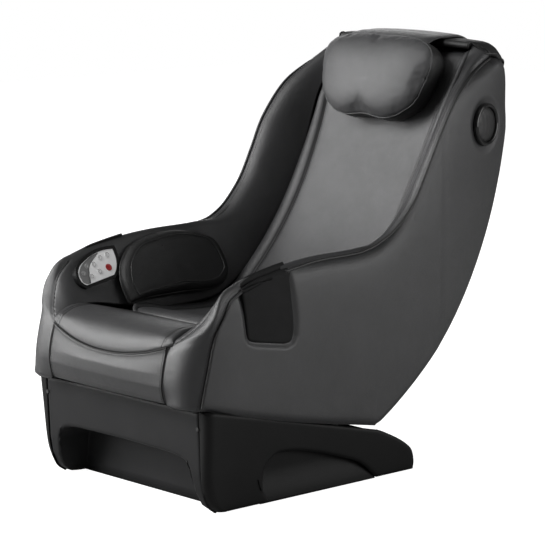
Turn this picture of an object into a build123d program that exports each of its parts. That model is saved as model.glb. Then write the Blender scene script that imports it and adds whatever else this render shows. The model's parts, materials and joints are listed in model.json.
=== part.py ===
from build123d import *
import os
from math import cos, pi, radians, sin

os.makedirs("parts", exist_ok=True)

# Massage chair, millimetres. +Z up, front towards -Y, +X is the sitter's left.
# The origin is on the floor, under the middle of the chair's overall box.

# Driving dimensions
SIDE_X = 348.0  # outer face of each side, at the arms
SHELL_T = 26.0  # upholstered side panel
ARC_Y = -551.5  # the back, its rails and the rear of the body share one arc centre
ARC_Z = 1170.4
PAD_R = 950.0  # front face of the back pad
PAD_T = 42.0
RAIL_R = 1090.0  # path of the carriage's guide wheels
REAR_R = 1190.0  # outer face of the rear cover
REAR_T = 25.0
REAR_LOW = 31.8  # angle of the rear cover's bottom edge
SEAT_HALF = 234.0
PAD_HALF = 245.0
FRAME_IN = 208.0  # inner face of the side tubes, where the rails are bolted
TUBE = 24.0
COVER_T = 4.0  # moulded plastic base covers
REST_ANGLE = 45.0  # carriage at the bottom of its travel, measured up from straight down
GAP = 1.0  # between soft parts and their neighbours
RUN = 0.05  # radial clearance of a shaft that turns in a bore

# Side of the body, seen along X: front seam over the arm and up the wing
SEAM = [
    (-554, 277),
    (-539, 371),
    (-520, 455),
    (-456, 538),
    (-340, 580),
    (-160, 606),
    (-34, 610),
    (55, 633),
    (172, 724),
    (263, 889),
    (329, 978),
    (450, 1057),
    (515, 1080),
]
# Side of the body in plan: (x, y) of the outer face
PLAN = [
    (335, -563),
    (SIDE_X, -365),
    (SIDE_X, 185),
    (344, 290),
    (334, 371),
    (322, 440),
    (308, 505),
    (292, 560),
    (275, 602),
]
BASE_TOP = [(-541, 268), (60, 131)]  # straight top edge of the base's side covers

# Top of the rear cover: a quarter round between the upright back and the flat top
CREST_Y = 518.0
CREST_Z = 1046.0
CREST_R = 78.0
CREST_FRONT = 470.0
CROWN_EDGE_Z = 1093.0  # the top is highest in the middle and falls to this at the sides


def save(piece, name):
    """Labels a finished piece and writes its STEP file."""
    piece.part.label = name
    export_step(piece.part, f"parts/{name}.step")


def on_arc(radius, angle):
    """(y, z) of a point on a circle about the back's centre."""
    return (ARC_Y + radius * sin(radians(angle)), ARC_Z - radius * cos(radians(angle)))


def arc_edge(radius, start, end):
    """Draws an arc about the back's centre in the open BuildLine."""
    middle = (start + end) / 2
    ThreePointArc(on_arc(radius, start), on_arc(radius, middle), on_arc(radius, end))


def strip_outline(inner, outer, start, end):
    """Draws the closed outline of a curved strip in the open BuildLine."""
    arc_edge(inner, start, end)
    Line(on_arc(inner, end), on_arc(outer, end))
    arc_edge(outer, end, start)
    Line(on_arc(outer, start), on_arc(inner, start))


def curved_strip(inner, outer, start, end, x_low, x_high):
    """A curved bar that follows the back."""
    with BuildPart() as strip:
        with BuildSketch(Plane.YZ.offset(x_low)):
            with BuildLine():
                strip_outline(inner, outer, start, end)
            make_face()
        extrude(amount=x_high - x_low)
    return strip.part


def box_between(low, high):
    """A box from its lowest corner to its highest, in the open BuildPart."""
    size = [b - a for a, b in zip(low, high)]
    with Locations(Vector(low)):
        Box(*size, align=(Align.MIN, Align.MIN, Align.MIN))


def both_sides(low, high):
    """A box and its mirror image across the middle of the chair."""
    box_between(low, high)
    box_between((-high[0], low[1], low[2]), (-low[0], high[1], high[2]))


def save_pair(piece, name):
    """Writes a left piece and its mirror image, the right piece."""
    save(piece, f"{name}_left")
    with BuildPart() as right:
        mirror(piece.part, about=Plane.YZ)
    save(right, f"{name}_right")


def save_group(piece, name):
    """Writes a left piece and its mirror image as one node."""
    with BuildPart() as group:
        add(piece.part)
        mirror(piece.part, about=Plane.YZ)
    save(group, name)


def plan_block(inset):
    """Everything between the middle plane and the side's plan curve, moved in by inset."""
    with BuildPart() as block:
        with BuildSketch():
            with BuildLine():
                Spline(*[(x - inset, y) for x, y in PLAN])
                Polyline((PLAN[-1][0] - inset, PLAN[-1][1]), (0, PLAN[-1][1]), (0, PLAN[0][1]),
                         (PLAN[0][0] - inset, PLAN[0][1]))
            make_face()
        extrude(amount=1200)
    return block.part


# ---------------------------------------------------------------- base

FRAME_FRONT = -425.0
FRAME_REAR = 185.0
FOOT_H = 14.0
RAIL_X = (246.0, 276.0)
WHEEL_AT = (162.0, 28.0)  # (y, z) of the transport wheels' axles
WHEEL_R = 25.0
AXLE_R = 6.0
SEAT_RAIL_Z = (335.0, 363.0)
POST_REAR_Y = (-20.0, 8.0)
POST_FRONT_Y = (-412.0, -388.0)
FRAME_OUT = FRAME_IN + TUBE


def make_base_frame():
    """Floor frame: side rails, cross tubes, posts, floor plate and wheel stub axles."""
    top = FOOT_H + 30
    with BuildPart() as frame:
        both_sides((RAIL_X[0], FRAME_FRONT, FOOT_H), (RAIL_X[1], FRAME_REAR, top))
        for y in (FRAME_FRONT, 30.0):
            box_between((-RAIL_X[0], y, FOOT_H), (RAIL_X[0], y + 30, top))
        box_between((-RAIL_X[1], FRAME_FRONT, top), (RAIL_X[1], 60, top + 3))
        both_sides((FRAME_IN, POST_FRONT_Y[0], top), (FRAME_OUT, POST_FRONT_Y[1], SEAT_RAIL_Z[0]))
        both_sides((FRAME_IN, POST_REAR_Y[0], top), (FRAME_OUT, POST_REAR_Y[1], 205))
        for x in (RAIL_X[1], -RAIL_X[1] - 25):
            with BuildSketch(Plane.YZ.offset(x)):
                with Locations(WHEEL_AT):
                    Circle(AXLE_R)
            extrude(amount=25)
        for x in (RAIL_X[1] + 22.5, -RAIL_X[1] - 25):
            with BuildSketch(Plane.YZ.offset(x)):
                with Locations(WHEEL_AT):
                    Circle(AXLE_R + 3)
            extrude(amount=2.5)
    save(frame, "base_frame")


def make_feet():
    """Four round rubber feet under the floor frame."""
    middle_x = sum(RAIL_X) / 2
    with BuildPart() as feet:
        for y in (-395, 150):
            with Locations((middle_x, y, 0), (-middle_x, y, 0)):
                Cone(bottom_radius=18, top_radius=15, height=FOOT_H,
                     align=(Align.CENTER, Align.CENTER, Align.MIN))
    save(feet, "rubber_feet")


def make_transport_wheels():
    """Small wheels at the rear, used when the chair is tipped back."""
    with BuildPart() as wheel:
        with BuildSketch(Plane.YZ.offset(RAIL_X[1] + 3)):
            with Locations(WHEEL_AT):
                Circle(WHEEL_R)
                Circle(AXLE_R + RUN, mode=Mode.SUBTRACT)
        extrude(amount=18)
        rims = wheel.edges().filter_by(GeomType.CIRCLE).sort_by(SortBy.RADIUS)[-2:]
        chamfer(rims, 2.5)
    save_pair(wheel, "transport_wheel")


# Screws through the front cover, one near each side
SCREW_X = (-300.0, 300.0)
SCREW_Z = 225.0
SCREW_R = 2.4
SCREW_HEAD_Y = 538.9  # underside of the heads, in front of the middle


def front_face(inset):
    """Side view of the base's front cover: closed outline, moved in by inset."""
    return [
        (-540 + inset, 268 - inset),
        (-533 + inset, 105),
        (-525 + inset, 60),
        (-508 + inset, 24),
        (-484 + inset, 6),
        (-431, 6),
        (-431, 243 - inset),
    ]


def arch_outline(spread):
    """Arch at the front of the base, seen from the front, made wider by spread."""
    top = 148 + spread
    foot = 280 + spread
    knee = 267 + spread
    shoulder = 215 + spread
    for side in (-1, 1):
        Line((side * foot, -5), (side * knee, 92))
        ThreePointArc((side * knee, 92), (side * (knee - 17), top - 19), (side * shoulder, top))
    Line((-shoulder, top), (shoulder, top))
    Line((foot, -5), (-foot, -5))


def make_front_cover():
    """Front of the base: a moulded shell with an arched toe recess."""
    half = 314.0
    recess = -435.0
    with BuildPart() as arch_skin:
        with BuildSketch(Plane.XZ.offset(-recess - COVER_T)):
            with BuildLine():
                arch_outline(COVER_T)
            make_face()
        extrude(amount=160)
    with BuildPart() as cavity:
        with BuildSketch(Plane.YZ):
            with BuildLine():
                Polyline(*front_face(COVER_T), close=True)
            make_face()
        extrude(amount=half - COVER_T, both=True)
        box_between((-half, -560, 0), (half, -400, 6.1))
        add(arch_skin.part, mode=Mode.SUBTRACT)
    with BuildPart() as cover:
        with BuildSketch(Plane.YZ):
            with BuildLine():
                Polyline(*front_face(0), close=True)
            make_face()
        extrude(amount=half, both=True)
        with BuildSketch(Plane.XZ.offset(-recess)):
            with BuildLine():
                arch_outline(0)
            make_face()
        extrude(amount=160, mode=Mode.SUBTRACT)
        add(cavity.part, mode=Mode.SUBTRACT)
        for x in SCREW_X:
            with BuildSketch(Plane.XZ.offset(560)):
                with Locations((x, SCREW_Z)):
                    Circle(SCREW_R + 0.2)
            extrude(amount=-40, mode=Mode.SUBTRACT)
    save(cover, "base_front_cover")


SIDE_COVER_X = (318.0, 341.0)  # outer face at the floor and at the top
SIDE_COVER_IN = 315.0


def side_outline():
    """Side view of the base's side cover."""
    front, rear = BASE_TOP
    tail = (201, 6)
    Line(front, rear)
    Spline(rear, (133, 101), (169, 79), (191, 56), (200, 29), tail)
    Line(tail, (-482, 6))
    Spline((-482, 6), (-508, 26), (-526, 62), (-534, 107))
    Line((-534, 107), front)


def side_arch():
    """Shallow arch on the side of the base."""
    Spline((-316, 6), (-340, 42), (-341, 92), (-318, 121), (-285, 131), (-221, 124), (-150, 107),
           (-77, 84), (-2, 55), (61, 6))
    Polyline((61, 6), (61, -10), (-316, -10), (-316, 6))


def side_wedge():
    """Cross-section of the base's side, seen from the front."""
    low, high = SIDE_COVER_X
    return [(300, 0), (low, 0), (high, 280), (300, 280)]


def make_side_covers():
    """Sides of the base: slanted plates with a shallow arch and a rounded tail."""
    with BuildPart() as cover:
        with BuildSketch(Plane.YZ.offset(SIDE_COVER_IN)):
            with BuildLine():
                side_outline()
            make_face()
        extrude(amount=40)
        with BuildSketch(Plane.XZ):
            with BuildLine():
                Polyline(*side_wedge(), close=True)
            make_face()
        extrude(amount=600, both=True, mode=Mode.INTERSECT)
        with BuildSketch(Plane.YZ.offset(SIDE_COVER_X[0])):
            with BuildLine():
                side_arch()
            make_face()
        extrude(amount=40, mode=Mode.SUBTRACT)
    save_pair(cover, "base_side_cover")


def tail_outline(inset):
    """Side view of the base's rear cover, moved in by inset."""
    tail = [(60, 130 - inset), (108, 113 - inset), (150 - inset * 0.5, 93 - inset),
            (188 - inset, 55 - inset * 0.5), (200 - inset, 28), (201 - inset, 6)]
    Polyline(*tail)
    Line(tail[-1], (60, 6))
    Line((60, 6), tail[0])


INLET_AT = (169.0, 74.0)  # (y, z) on the slanted rear face of the base
INLET_TILT = 45.0  # the face's normal, degrees above level


def inlet_plane(x):
    """Plane on the slanted face of the rear cover, its normal pointing out."""
    normal = (0, cos(radians(INLET_TILT)), sin(radians(INLET_TILT)))
    return Plane(origin=(x, *INLET_AT), x_dir=(1, 0, 0), z_dir=normal)


INLET_SIZE = (30.0, 24.0)
SWITCH_SIZE = (22.0, 16.0)
INLET_X = -150.0
SWITCH_X = -110.0


def make_rear_cover_base():
    """Rear of the base: a moulded shell, open below, with the inlet's and switch's holes."""
    with BuildPart() as cover:
        with BuildSketch(Plane.YZ):
            with BuildLine():
                tail_outline(0)
            make_face()
        extrude(amount=SIDE_COVER_IN - GAP, both=True)
        with BuildSketch(Plane.YZ):
            with BuildLine():
                tail_outline(COVER_T)
            make_face()
        extrude(amount=SIDE_COVER_IN - GAP - COVER_T, both=True, mode=Mode.SUBTRACT)
        for x, size in ((INLET_X, INLET_SIZE), (SWITCH_X, SWITCH_SIZE)):
            with BuildSketch(inlet_plane(x)):
                Rectangle(size[0] + 0.6, size[1] + 0.6)
            extrude(amount=12, both=True, mode=Mode.SUBTRACT)
    save(cover, "base_rear_cover")


def make_power_inlet():
    """Mains inlet: a socket block with a flange on the rear cover and three pins."""
    with BuildPart() as inlet:
        with BuildSketch(inlet_plane(INLET_X).offset(-16)):
            Rectangle(*INLET_SIZE)
        extrude(amount=16.2)
        with BuildSketch(inlet_plane(INLET_X).offset(0.2)):
            Rectangle(INLET_SIZE[0] + 6, INLET_SIZE[1] + 6)
        extrude(amount=2)
        with BuildSketch(inlet_plane(INLET_X).offset(-12)):
            Rectangle(INLET_SIZE[0] - 6, INLET_SIZE[1] - 6)
            with Locations((-7, 0), (0, 4), (7, 0)):
                Rectangle(2, 5, mode=Mode.SUBTRACT)
        extrude(amount=16, mode=Mode.SUBTRACT)
    save(inlet, "power_inlet")


def make_power_switch():
    """Rocker that turns on a level pin in its housing."""
    width, depth = SWITCH_SIZE
    with BuildPart() as housing:
        with BuildSketch(inlet_plane(SWITCH_X).offset(-14)):
            Rectangle(width, depth)
        extrude(amount=14.2)
        with BuildSketch(inlet_plane(SWITCH_X).offset(0.2)):
            Rectangle(width + 4, depth + 4)
        extrude(amount=1.6)
        with BuildSketch(inlet_plane(SWITCH_X).offset(-12)):
            Rectangle(width - 4, depth - 3)
        extrude(amount=16, mode=Mode.SUBTRACT)
        with BuildSketch(Plane.YZ.offset(SWITCH_X - width / 2 + 1)):
            with Locations(INLET_AT):
                Circle(1.2)
        extrude(amount=width - 2)
    save(housing, "switch_housing")
    with BuildPart() as rocker:
        with BuildSketch(inlet_plane(SWITCH_X)):
            Rectangle(width - 5, depth - 5)
        extrude(amount=3.4, both=True)
        with BuildSketch(Plane.YZ.offset(SWITCH_X - width)):
            with Locations(INLET_AT):
                Circle(1.2 + RUN)
        extrude(amount=2 * width, mode=Mode.SUBTRACT)
    save(rocker, "power_switch")


def make_cover_screws():
    """Countersunk-looking pan screws that hold the front cover, all alike."""
    with BuildPart() as screws:
        for x in SCREW_X:
            with BuildSketch(Plane.XZ.offset(SCREW_HEAD_Y)):
                with Locations((x, SCREW_Z)):
                    Circle(5)
            extrude(amount=2.2)
            with BuildSketch(Plane.XZ.offset(SCREW_HEAD_Y - 18)):
                with Locations((x, SCREW_Z)):
                    Circle(SCREW_R)
            extrude(amount=18)
    save(screws, "cover_screws")


# ---------------------------------------------------------------- body frame and rails

RAIL_CHANNEL = (1075.5, 1104.5)  # faces the guide wheels run between
RAIL_WALL = 4.5
RAIL_ENDS = (35.0, 78.0)
RACK_PITCH_R = 1104.0
MODULE = 4.0
PINION_TEETH = 12
RACK_TEETH = round(2 * RACK_PITCH_R / MODULE)
PINION_R = MODULE * PINION_TEETH / 2
PINION_X = (160.0, 174.0)
RACK_X = (158.0, 176.0)
ADDENDUM = 3.4
DEDENDUM = 4.6
PINION_ANGLE = REST_ANGLE - 4.6
TOOTH_HALF = pi * MODULE / 4 - 0.8  # half the tooth's thickness on the pitch line


SEAT_CROSS_Y = (-520.0, -60.0)  # front faces of the seat's cross tubes
ARM_BRACKET_Y = (-420.0, -120.0)
ARM_BRACKET_END = 318.0  # the brackets reach out to the side panels
WING_BRACKET_END = 302.0


def make_body_frame():
    """Seat rails, curved side tubes, cross members and the brackets that hold the sides."""
    low, high = SEAT_RAIL_Z
    with BuildPart() as frame:
        both_sides((FRAME_IN, SEAT_CROSS_Y[0], low), (FRAME_OUT, 165, high))
        for y in SEAT_CROSS_Y:
            box_between((-FRAME_IN, y, low), (FRAME_IN, y + TUBE, high))
        add(curved_strip(1080, 1104, 30, 80, FRAME_IN, FRAME_OUT))
        add(curved_strip(1080, 1104, 30, 80, -FRAME_OUT, -FRAME_IN))
        both_sides((FRAME_IN, POST_REAR_Y[0], 205), (FRAME_OUT, POST_REAR_Y[1], 236))
        add(curved_strip(1078, 1102, 79, 80.2, -FRAME_OUT, FRAME_OUT))
        add(curved_strip(1134, 1150, 36, 37.2, -FRAME_OUT, FRAME_OUT))
        for x in (FRAME_IN, -FRAME_OUT):
            add(curved_strip(1100, 1150, 36, 37.2, x, x + TUBE))
        for y in ARM_BRACKET_Y:
            both_sides((FRAME_OUT, y, 262), (FRAME_OUT + 8, y + TUBE, high))
            both_sides((FRAME_OUT, y, 262), (ARM_BRACKET_END, y + TUBE, 286))
        both_sides((FRAME_OUT, 384, 612), (WING_BRACKET_END, 404, 632))
    save(frame, "body_frame")


def tooth_points(tip, root, tip_half, root_half):
    """Corners of one tooth, symmetrical about the local x axis."""
    return [(root, -root_half), (tip, -tip_half), (tip, tip_half), (root, root_half)]


def make_guide_rails():
    """C-section rails bolted inside the side tubes, each with a toothed rack behind it."""
    first = round((RAIL_ENDS[0] + 1 - PINION_ANGLE) / (360 / RACK_TEETH)) - 0.5
    count = int((RAIL_ENDS[1] - RAIL_ENDS[0] - 6) / (360 / RACK_TEETH))
    root = RACK_PITCH_R + DEDENDUM
    with BuildPart() as rail:
        add(curved_strip(RAIL_CHANNEL[0] - RAIL_WALL, RAIL_CHANNEL[1] + RAIL_WALL,
                         *RAIL_ENDS, FRAME_IN - 4, FRAME_IN))
        add(curved_strip(RAIL_CHANNEL[0] - RAIL_WALL, RAIL_CHANNEL[0],
                         *RAIL_ENDS, 182, FRAME_IN))
        add(curved_strip(RAIL_CHANNEL[1], RAIL_CHANNEL[1] + RAIL_WALL,
                         *RAIL_ENDS, 182, FRAME_IN))
        add(curved_strip(root, root + 7, *RAIL_ENDS, RACK_X[0], FRAME_IN))
        for number in range(count):
            angle = PINION_ANGLE + (first + number) * 360 / RACK_TEETH
            outward = (0, sin(radians(angle)), -cos(radians(angle)))
            place = Plane(origin=(RACK_X[0], ARC_Y, ARC_Z), x_dir=outward, z_dir=(1, 0, 0))
            with BuildSketch(place):
                Polygon(*tooth_points(RACK_PITCH_R - ADDENDUM, root + 0.5,
                                      TOOTH_HALF - 1.2, TOOTH_HALF + 1.2), align=None)
            extrude(amount=RACK_X[1] - RACK_X[0])
    save_group(rail, "guide_rails")


# ---------------------------------------------------------------- massage carriage

HERE = on_arc(RAIL_R, REST_ANGLE)
ALONG = (0, cos(radians(REST_ANGLE)), sin(radians(REST_ANGLE)))
GUIDE_R = 14.0
PIN_R = 5.0
UPPER_GUIDE = REST_ANGLE + 5.2
LOWER_GUIDE = REST_ANGLE - 7.2
DRIVE_AT = on_arc(RACK_PITCH_R - PINION_R, PINION_ANGLE)
SHAFT_R = 8.0
KNEAD_F = 5.0
ARM_X = (60.0, 90.0)
ROLLER_R = 30.0
ROLLER_REACH = (68.0, 64.0)  # along the back and towards the sitter, from the carriage's middle
PLATE_X = (146.0, 152.0)


def carriage_plane(x):
    """Plane across the carriage at x: local x runs up the back, local y towards the sitter."""
    return Plane(origin=(x, *HERE), x_dir=ALONG, z_dir=(1, 0, 0))


def across(x_low, x_high, centre, radius, bore=0.0):
    """A round bar or ring along X, centred on a (y, z) point."""
    with BuildPart() as bar:
        with BuildSketch(Plane.YZ.offset(x_low)):
            with Locations(centre):
                Circle(radius)
                if bore:
                    Circle(bore, mode=Mode.SUBTRACT)
        extrude(amount=x_high - x_low)
    return bar.part


def local(t, f):
    """(y, z) of a point given along the carriage and towards the sitter."""
    point = carriage_plane(0).from_local_coords(Vector(t, f, 0))
    return (point.Y, point.Z)


KNEAD_AT = local(0, KNEAD_F)


def make_carriage_frame():
    """Two side plates, a rear channel between them and the guide wheels' pins."""
    with BuildPart() as frame:
        for x in (PLATE_X[0], -PLATE_X[1]):
            with BuildSketch(carriage_plane(x)):
                with BuildLine():
                    Polyline((-152, -24), (-120, -36), (95, -36), (112, -14), (112, 14),
                             (60, 24), (-112, 32), (-152, 26), close=True)
                make_face()
            extrude(amount=PLATE_X[1] - PLATE_X[0])
        with BuildSketch(carriage_plane(-PLATE_X[0])):
            with Locations((-12, -34)):
                Rectangle(214, 4)
        extrude(amount=2 * PLATE_X[0])
        for angle in (UPPER_GUIDE, LOWER_GUIDE):
            for x in (PLATE_X[1], -203):
                add(across(x, x + 203 - PLATE_X[1], on_arc(RAIL_R, angle), PIN_R))
            for x in (201, -203):
                add(across(x, x + 2, on_arc(RAIL_R, angle), PIN_R + 3))
        for centre in (DRIVE_AT, KNEAD_AT):
            add(across(-220, 220, centre, SHAFT_R + RUN), mode=Mode.SUBTRACT)
    save(frame, "carriage_frame")


def make_guide_wheels():
    """Nylon wheels that run inside the rails, one pair at each end of the carriage."""
    for angle, name in ((UPPER_GUIDE, "guide_wheels_upper"), (LOWER_GUIDE, "guide_wheels_lower")):
        with BuildPart() as wheel:
            add(across(184, 200, on_arc(RAIL_R, angle), GUIDE_R, PIN_R + RUN))
            chamfer(wheel.edges().filter_by(GeomType.CIRCLE).sort_by(SortBy.RADIUS)[-2:], 1)
        save_group(wheel, name)


def make_drive_shaft():
    """Shaft across the carriage with a pinion at each end, in mesh with the racks."""
    pitch = 360 / PINION_TEETH
    root = PINION_R - DEDENDUM
    with BuildPart() as shaft:
        add(across(-PINION_X[1], PINION_X[1], DRIVE_AT, SHAFT_R))
        for x in (PINION_X[0], -PINION_X[1]):
            add(across(x, x + PINION_X[1] - PINION_X[0], DRIVE_AT, root))
            for number in range(PINION_TEETH):
                angle = PINION_ANGLE + number * pitch
                outward = (0, sin(radians(angle)), -cos(radians(angle)))
                with BuildSketch(Plane(origin=(x, *DRIVE_AT), x_dir=outward, z_dir=(1, 0, 0))):
                    Polygon(*tooth_points(PINION_R + ADDENDUM, root - 2,
                                          TOOTH_HALF - 1.5, TOOTH_HALF + 1.1), align=None)
                extrude(amount=PINION_X[1] - PINION_X[0])
    save(shaft, "drive_shaft")


def gear_motor(block, bore_at, motor_at, motor_r):
    """A gearbox block around a shaft, with its motor lying beside the shaft."""
    (t_low, f_low), (t_high, f_high) = block
    with BuildPart() as motor:
        with BuildSketch(carriage_plane(-34)):
            with BuildLine():
                Polyline((t_low, f_low), (t_high, f_low), (t_high, f_high), (t_low, f_high),
                         close=True)
            make_face()
        extrude(amount=30)
        add(across(-6, 48, motor_at, motor_r))
        add(across(46, 52, motor_at, motor_r / 3))
        add(across(-40, 60, bore_at, SHAFT_R + RUN), mode=Mode.SUBTRACT)
    return motor


def make_motors():
    """Travel motor on the drive shaft and kneading motor on the kneading shaft."""
    travel = gear_motor(((-112, -14), (-44, 28)), DRIVE_AT, local(-50, 6), 17)
    save(travel, "travel_motor")
    knead = gear_motor(((-20, -22), (74, 26)), KNEAD_AT, local(48, 2), 23)
    save(knead, "knead_motor")


def make_knead_shaft():
    """Shaft through the gearbox and both massage arms, with a collar outside each arm."""
    with BuildPart() as shaft:
        add(across(-PLATE_X[1], PLATE_X[1], KNEAD_AT, SHAFT_R))
        for x in (ARM_X[1] + 1, -ARM_X[1] - 7):
            add(across(x, x + 6, KNEAD_AT, SHAFT_R + 6))
    save(shaft, "knead_shaft")


def make_massage_arms():
    """Forked arms that rock on the kneading shaft and carry two rollers each."""
    reach_t, reach_f = ROLLER_REACH
    x_low, x_high = ARM_X
    middle = (x_low + x_high) / 2
    with BuildPart() as arm:
        add(across(x_low, x_high, KNEAD_AT, 18))
        for side in (-1, 1):
            with BuildSketch(carriage_plane(middle - 6)):
                with BuildLine():
                    Polyline((-12, -5), (12, -5), (side * reach_t + 12, reach_f - 6),
                             (side * reach_t + 12, reach_f + 9),
                             (side * reach_t - 12, reach_f + 9),
                             (side * reach_t - 12, reach_f - 6), close=True)
                make_hull()
            extrude(amount=12)
            for x in (x_low - 8, middle):
                add(across(x, x + 23, local(side * reach_t, reach_f), PIN_R))
        add(across(x_low - 10, x_high + 10, KNEAD_AT, SHAFT_R + RUN), mode=Mode.SUBTRACT)
    save_pair(arm, "massage_arm")
    for side, name in ((1, "upper"), (-1, "lower")):
        with BuildPart() as roller:
            for x in (middle - 28, middle + 6.5):
                add(across(x, x + 21.5, local(side * reach_t, reach_f), ROLLER_R, PIN_R + RUN))
            rims = roller.edges().filter_by(GeomType.CIRCLE).group_by(SortBy.RADIUS)[-1]
            fillet(rims, 6)
        save_pair(roller, f"massage_roller_{name}")


# ---------------------------------------------------------------- seat, back and sides

SEAT_PAN_Z = (363.0, 375.0)


def make_seat_pan():
    """Plywood board on the seat rails."""
    with BuildPart() as pan:
        box_between((-FRAME_OUT, -530, SEAT_PAN_Z[0]), (FRAME_OUT, -66, SEAT_PAN_Z[1]))
        fillet(pan.edges().filter_by(Axis.Z), 12)
    save(pan, "seat_pan")


def make_seat_cushion():
    """Foam seat with a raised front roll, tucked under the back pad."""
    base = SEAT_PAN_Z[1] + GAP
    with BuildPart() as cushion:
        with BuildSketch(Plane.YZ):
            with BuildLine():
                Polyline((-66, base), (-546, base), (-546, 418), (-565, 422))
                Spline((-565, 422), (-540, 452), (-500, 462), (-450, 457), (-348, 426))
                Polyline((-348, 426), (-345, 392), (-66, 379), (-66, base))
            make_face()
        extrude(amount=SEAT_HALF, both=True)
    save(cushion, "seat_cushion")


def make_front_apron():
    """Padded skirt below the front of the seat."""
    with BuildPart() as apron:
        with BuildSketch(Plane.YZ):
            with BuildLine():
                Polyline((-572, 416), (-548, 416), (-548, 284), (-572, 284))
                Spline((-572, 284), (-590, 325), (-602, 370), (-594, 402), (-572, 416))
            make_face()
        extrude(amount=236, both=True)
    save(apron, "front_apron")


PAD_TURN = 75.5  # where the pad leaves the arc and leans back
PAD_TOP = [(465, 1075), (500, 1051)]


def make_back_pad():
    """One long pad: a thin front on the seat, the curved back and a head end that leans back."""
    rear = PAD_R + PAD_T
    with BuildPart() as pad:
        with BuildSketch(Plane.YZ):
            with BuildLine():
                ThreePointArc((-338, 412), (-331, 428), (-315, 434))
                Spline((-315, 434), (-200, 412), (-65, 405), (0, 417), on_arc(PAD_R, 40))
                arc_edge(PAD_R, 40, PAD_TURN)
                Polyline(on_arc(PAD_R, PAD_TURN), *PAD_TOP, on_arc(rear, PAD_TURN))
                arc_edge(rear, PAD_TURN, 38)
                Polyline(on_arc(rear, 38), (-62, 381), (-334, 397), (-338, 412))
            make_face()
        extrude(amount=PAD_HALF, both=True)
    save(pad, "back_pad")


def make_side_shells():
    """Upholstered side panels, following the seam in front and the rear cover behind."""
    inner_r = REAR_R - REAR_T - GAP
    low = 31.5
    high = 73.0
    with BuildPart() as shell:
        with BuildSketch(Plane.YZ.offset(200)):
            with BuildLine():
                Spline(*SEAM)
                Spline(SEAM[-1], (548, 1056), (562, 1010), (564, 930), on_arc(inner_r - 2, high))
                Line(on_arc(inner_r - 2, high), on_arc(inner_r, high))
                arc_edge(inner_r, high, low)
                Polyline(on_arc(inner_r, low), (54, 136), SEAM[0])
            make_face()
        extrude(amount=160)
        add(plan_block(0), mode=Mode.INTERSECT)
        add(plan_block(SHELL_T), mode=Mode.SUBTRACT)
        with BuildSketch(speaker_plane().offset(-60)):
            Circle(SPEAKER_R + GAP)
        extrude(amount=90, mode=Mode.SUBTRACT)
        with BuildSketch(speaker_plane().offset(SPEAKER_RIM_AT - 0.5)):
            Circle(SPEAKER_RIM_R + GAP)
        extrude(amount=30, mode=Mode.SUBTRACT)
        with BuildSketch(Plane.YZ.offset(POCKET_X)):
            with BuildLine():
                Polyline(*pocket_outline(GAP), close=True)
            make_face()
        extrude(amount=30, mode=Mode.SUBTRACT)
    save_pair(shell, "side_shell")


# Round speakers on the wings, turned with the side's plan curve
SPEAKER_AT = (316.5, 467.0, 902.0)
SPEAKER_TURN = 12.5  # degrees from the side's outward normal to the speaker's
SPEAKER_R = 50.0
SPEAKER_RIM_R = 57.0
SPEAKER_RIM_AT = 2.0  # height of the rim's underside over the speaker's plane
SPEAKER_DEPTH = 26.0


def speaker_plane():
    """Plane on the outer face of the left wing, its normal pointing out."""
    normal = (cos(radians(SPEAKER_TURN)), sin(radians(SPEAKER_TURN)), 0)
    return Plane(origin=SPEAKER_AT, x_dir=(0, 0, 1), z_dir=normal)


def make_speakers():
    """Housing with a rim, cone behind it and a flat grille in front."""
    with BuildPart() as housing:
        with BuildSketch(speaker_plane().offset(-SPEAKER_DEPTH)):
            Circle(SPEAKER_R)
        extrude(amount=SPEAKER_DEPTH + 4)
        with BuildSketch(speaker_plane().offset(SPEAKER_RIM_AT)):
            Circle(SPEAKER_RIM_R)
        extrude(amount=3)
        with BuildSketch(speaker_plane().offset(3 - SPEAKER_DEPTH)):
            Circle(SPEAKER_R - 3)
        extrude(amount=40, mode=Mode.SUBTRACT)
    save_group(housing, "speaker_housings")
    with BuildPart() as grille:
        with BuildSketch(speaker_plane().offset(0)):
            Circle(SPEAKER_R - 3.2)
        extrude(amount=2)
        with BuildSketch(speaker_plane().offset(-1)):
            for ring in range(1, 5):
                with PolarLocations(9.5 * ring, 6 * ring):
                    Circle(2)
        extrude(amount=5, mode=Mode.SUBTRACT)
    save_group(grille, "speaker_grilles")
    with BuildPart() as cone:
        with BuildSketch(speaker_plane().offset(4 - SPEAKER_DEPTH)):
            Circle(20)
        extrude(amount=7)
        with BuildSketch(speaker_plane().offset(11 - SPEAKER_DEPTH)):
            Circle(16)
        with BuildSketch(speaker_plane().offset(-5)):
            Circle(44)
        loft()
    save_group(cone, "speaker_cones")


# Pockets on the outside of both arms
POCKET_X = 336.0


def pocket_outline(spread):
    """Outline of the pocket's recess, seen from the side, made wider by spread."""
    return [
        (-430 - spread, 560 + spread),
        (-414 - spread, 440 - spread),
        (-391 - spread, 421 - spread),
        (-283 + spread, 419 - spread),
        (-265 + spread, 434),
        (-280 + spread, 592 + spread),
        (-360, 573 + spread),
    ]


def make_side_pockets():
    """Stitched pouches sunk in the side panels, open along the top."""
    with BuildPart() as pocket:
        with BuildSketch(Plane.YZ.offset(POCKET_X + GAP)):
            with BuildLine():
                Polyline(*pocket_outline(0), close=True)
            make_face()
        extrude(amount=9)
        with BuildSketch(Plane.YZ.offset(POCKET_X + GAP + 3)):
            with Locations((-348, 520)):
                Rectangle(110, 160)
        extrude(amount=3.5, mode=Mode.SUBTRACT)
    save_group(pocket, "side_pockets")


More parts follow.
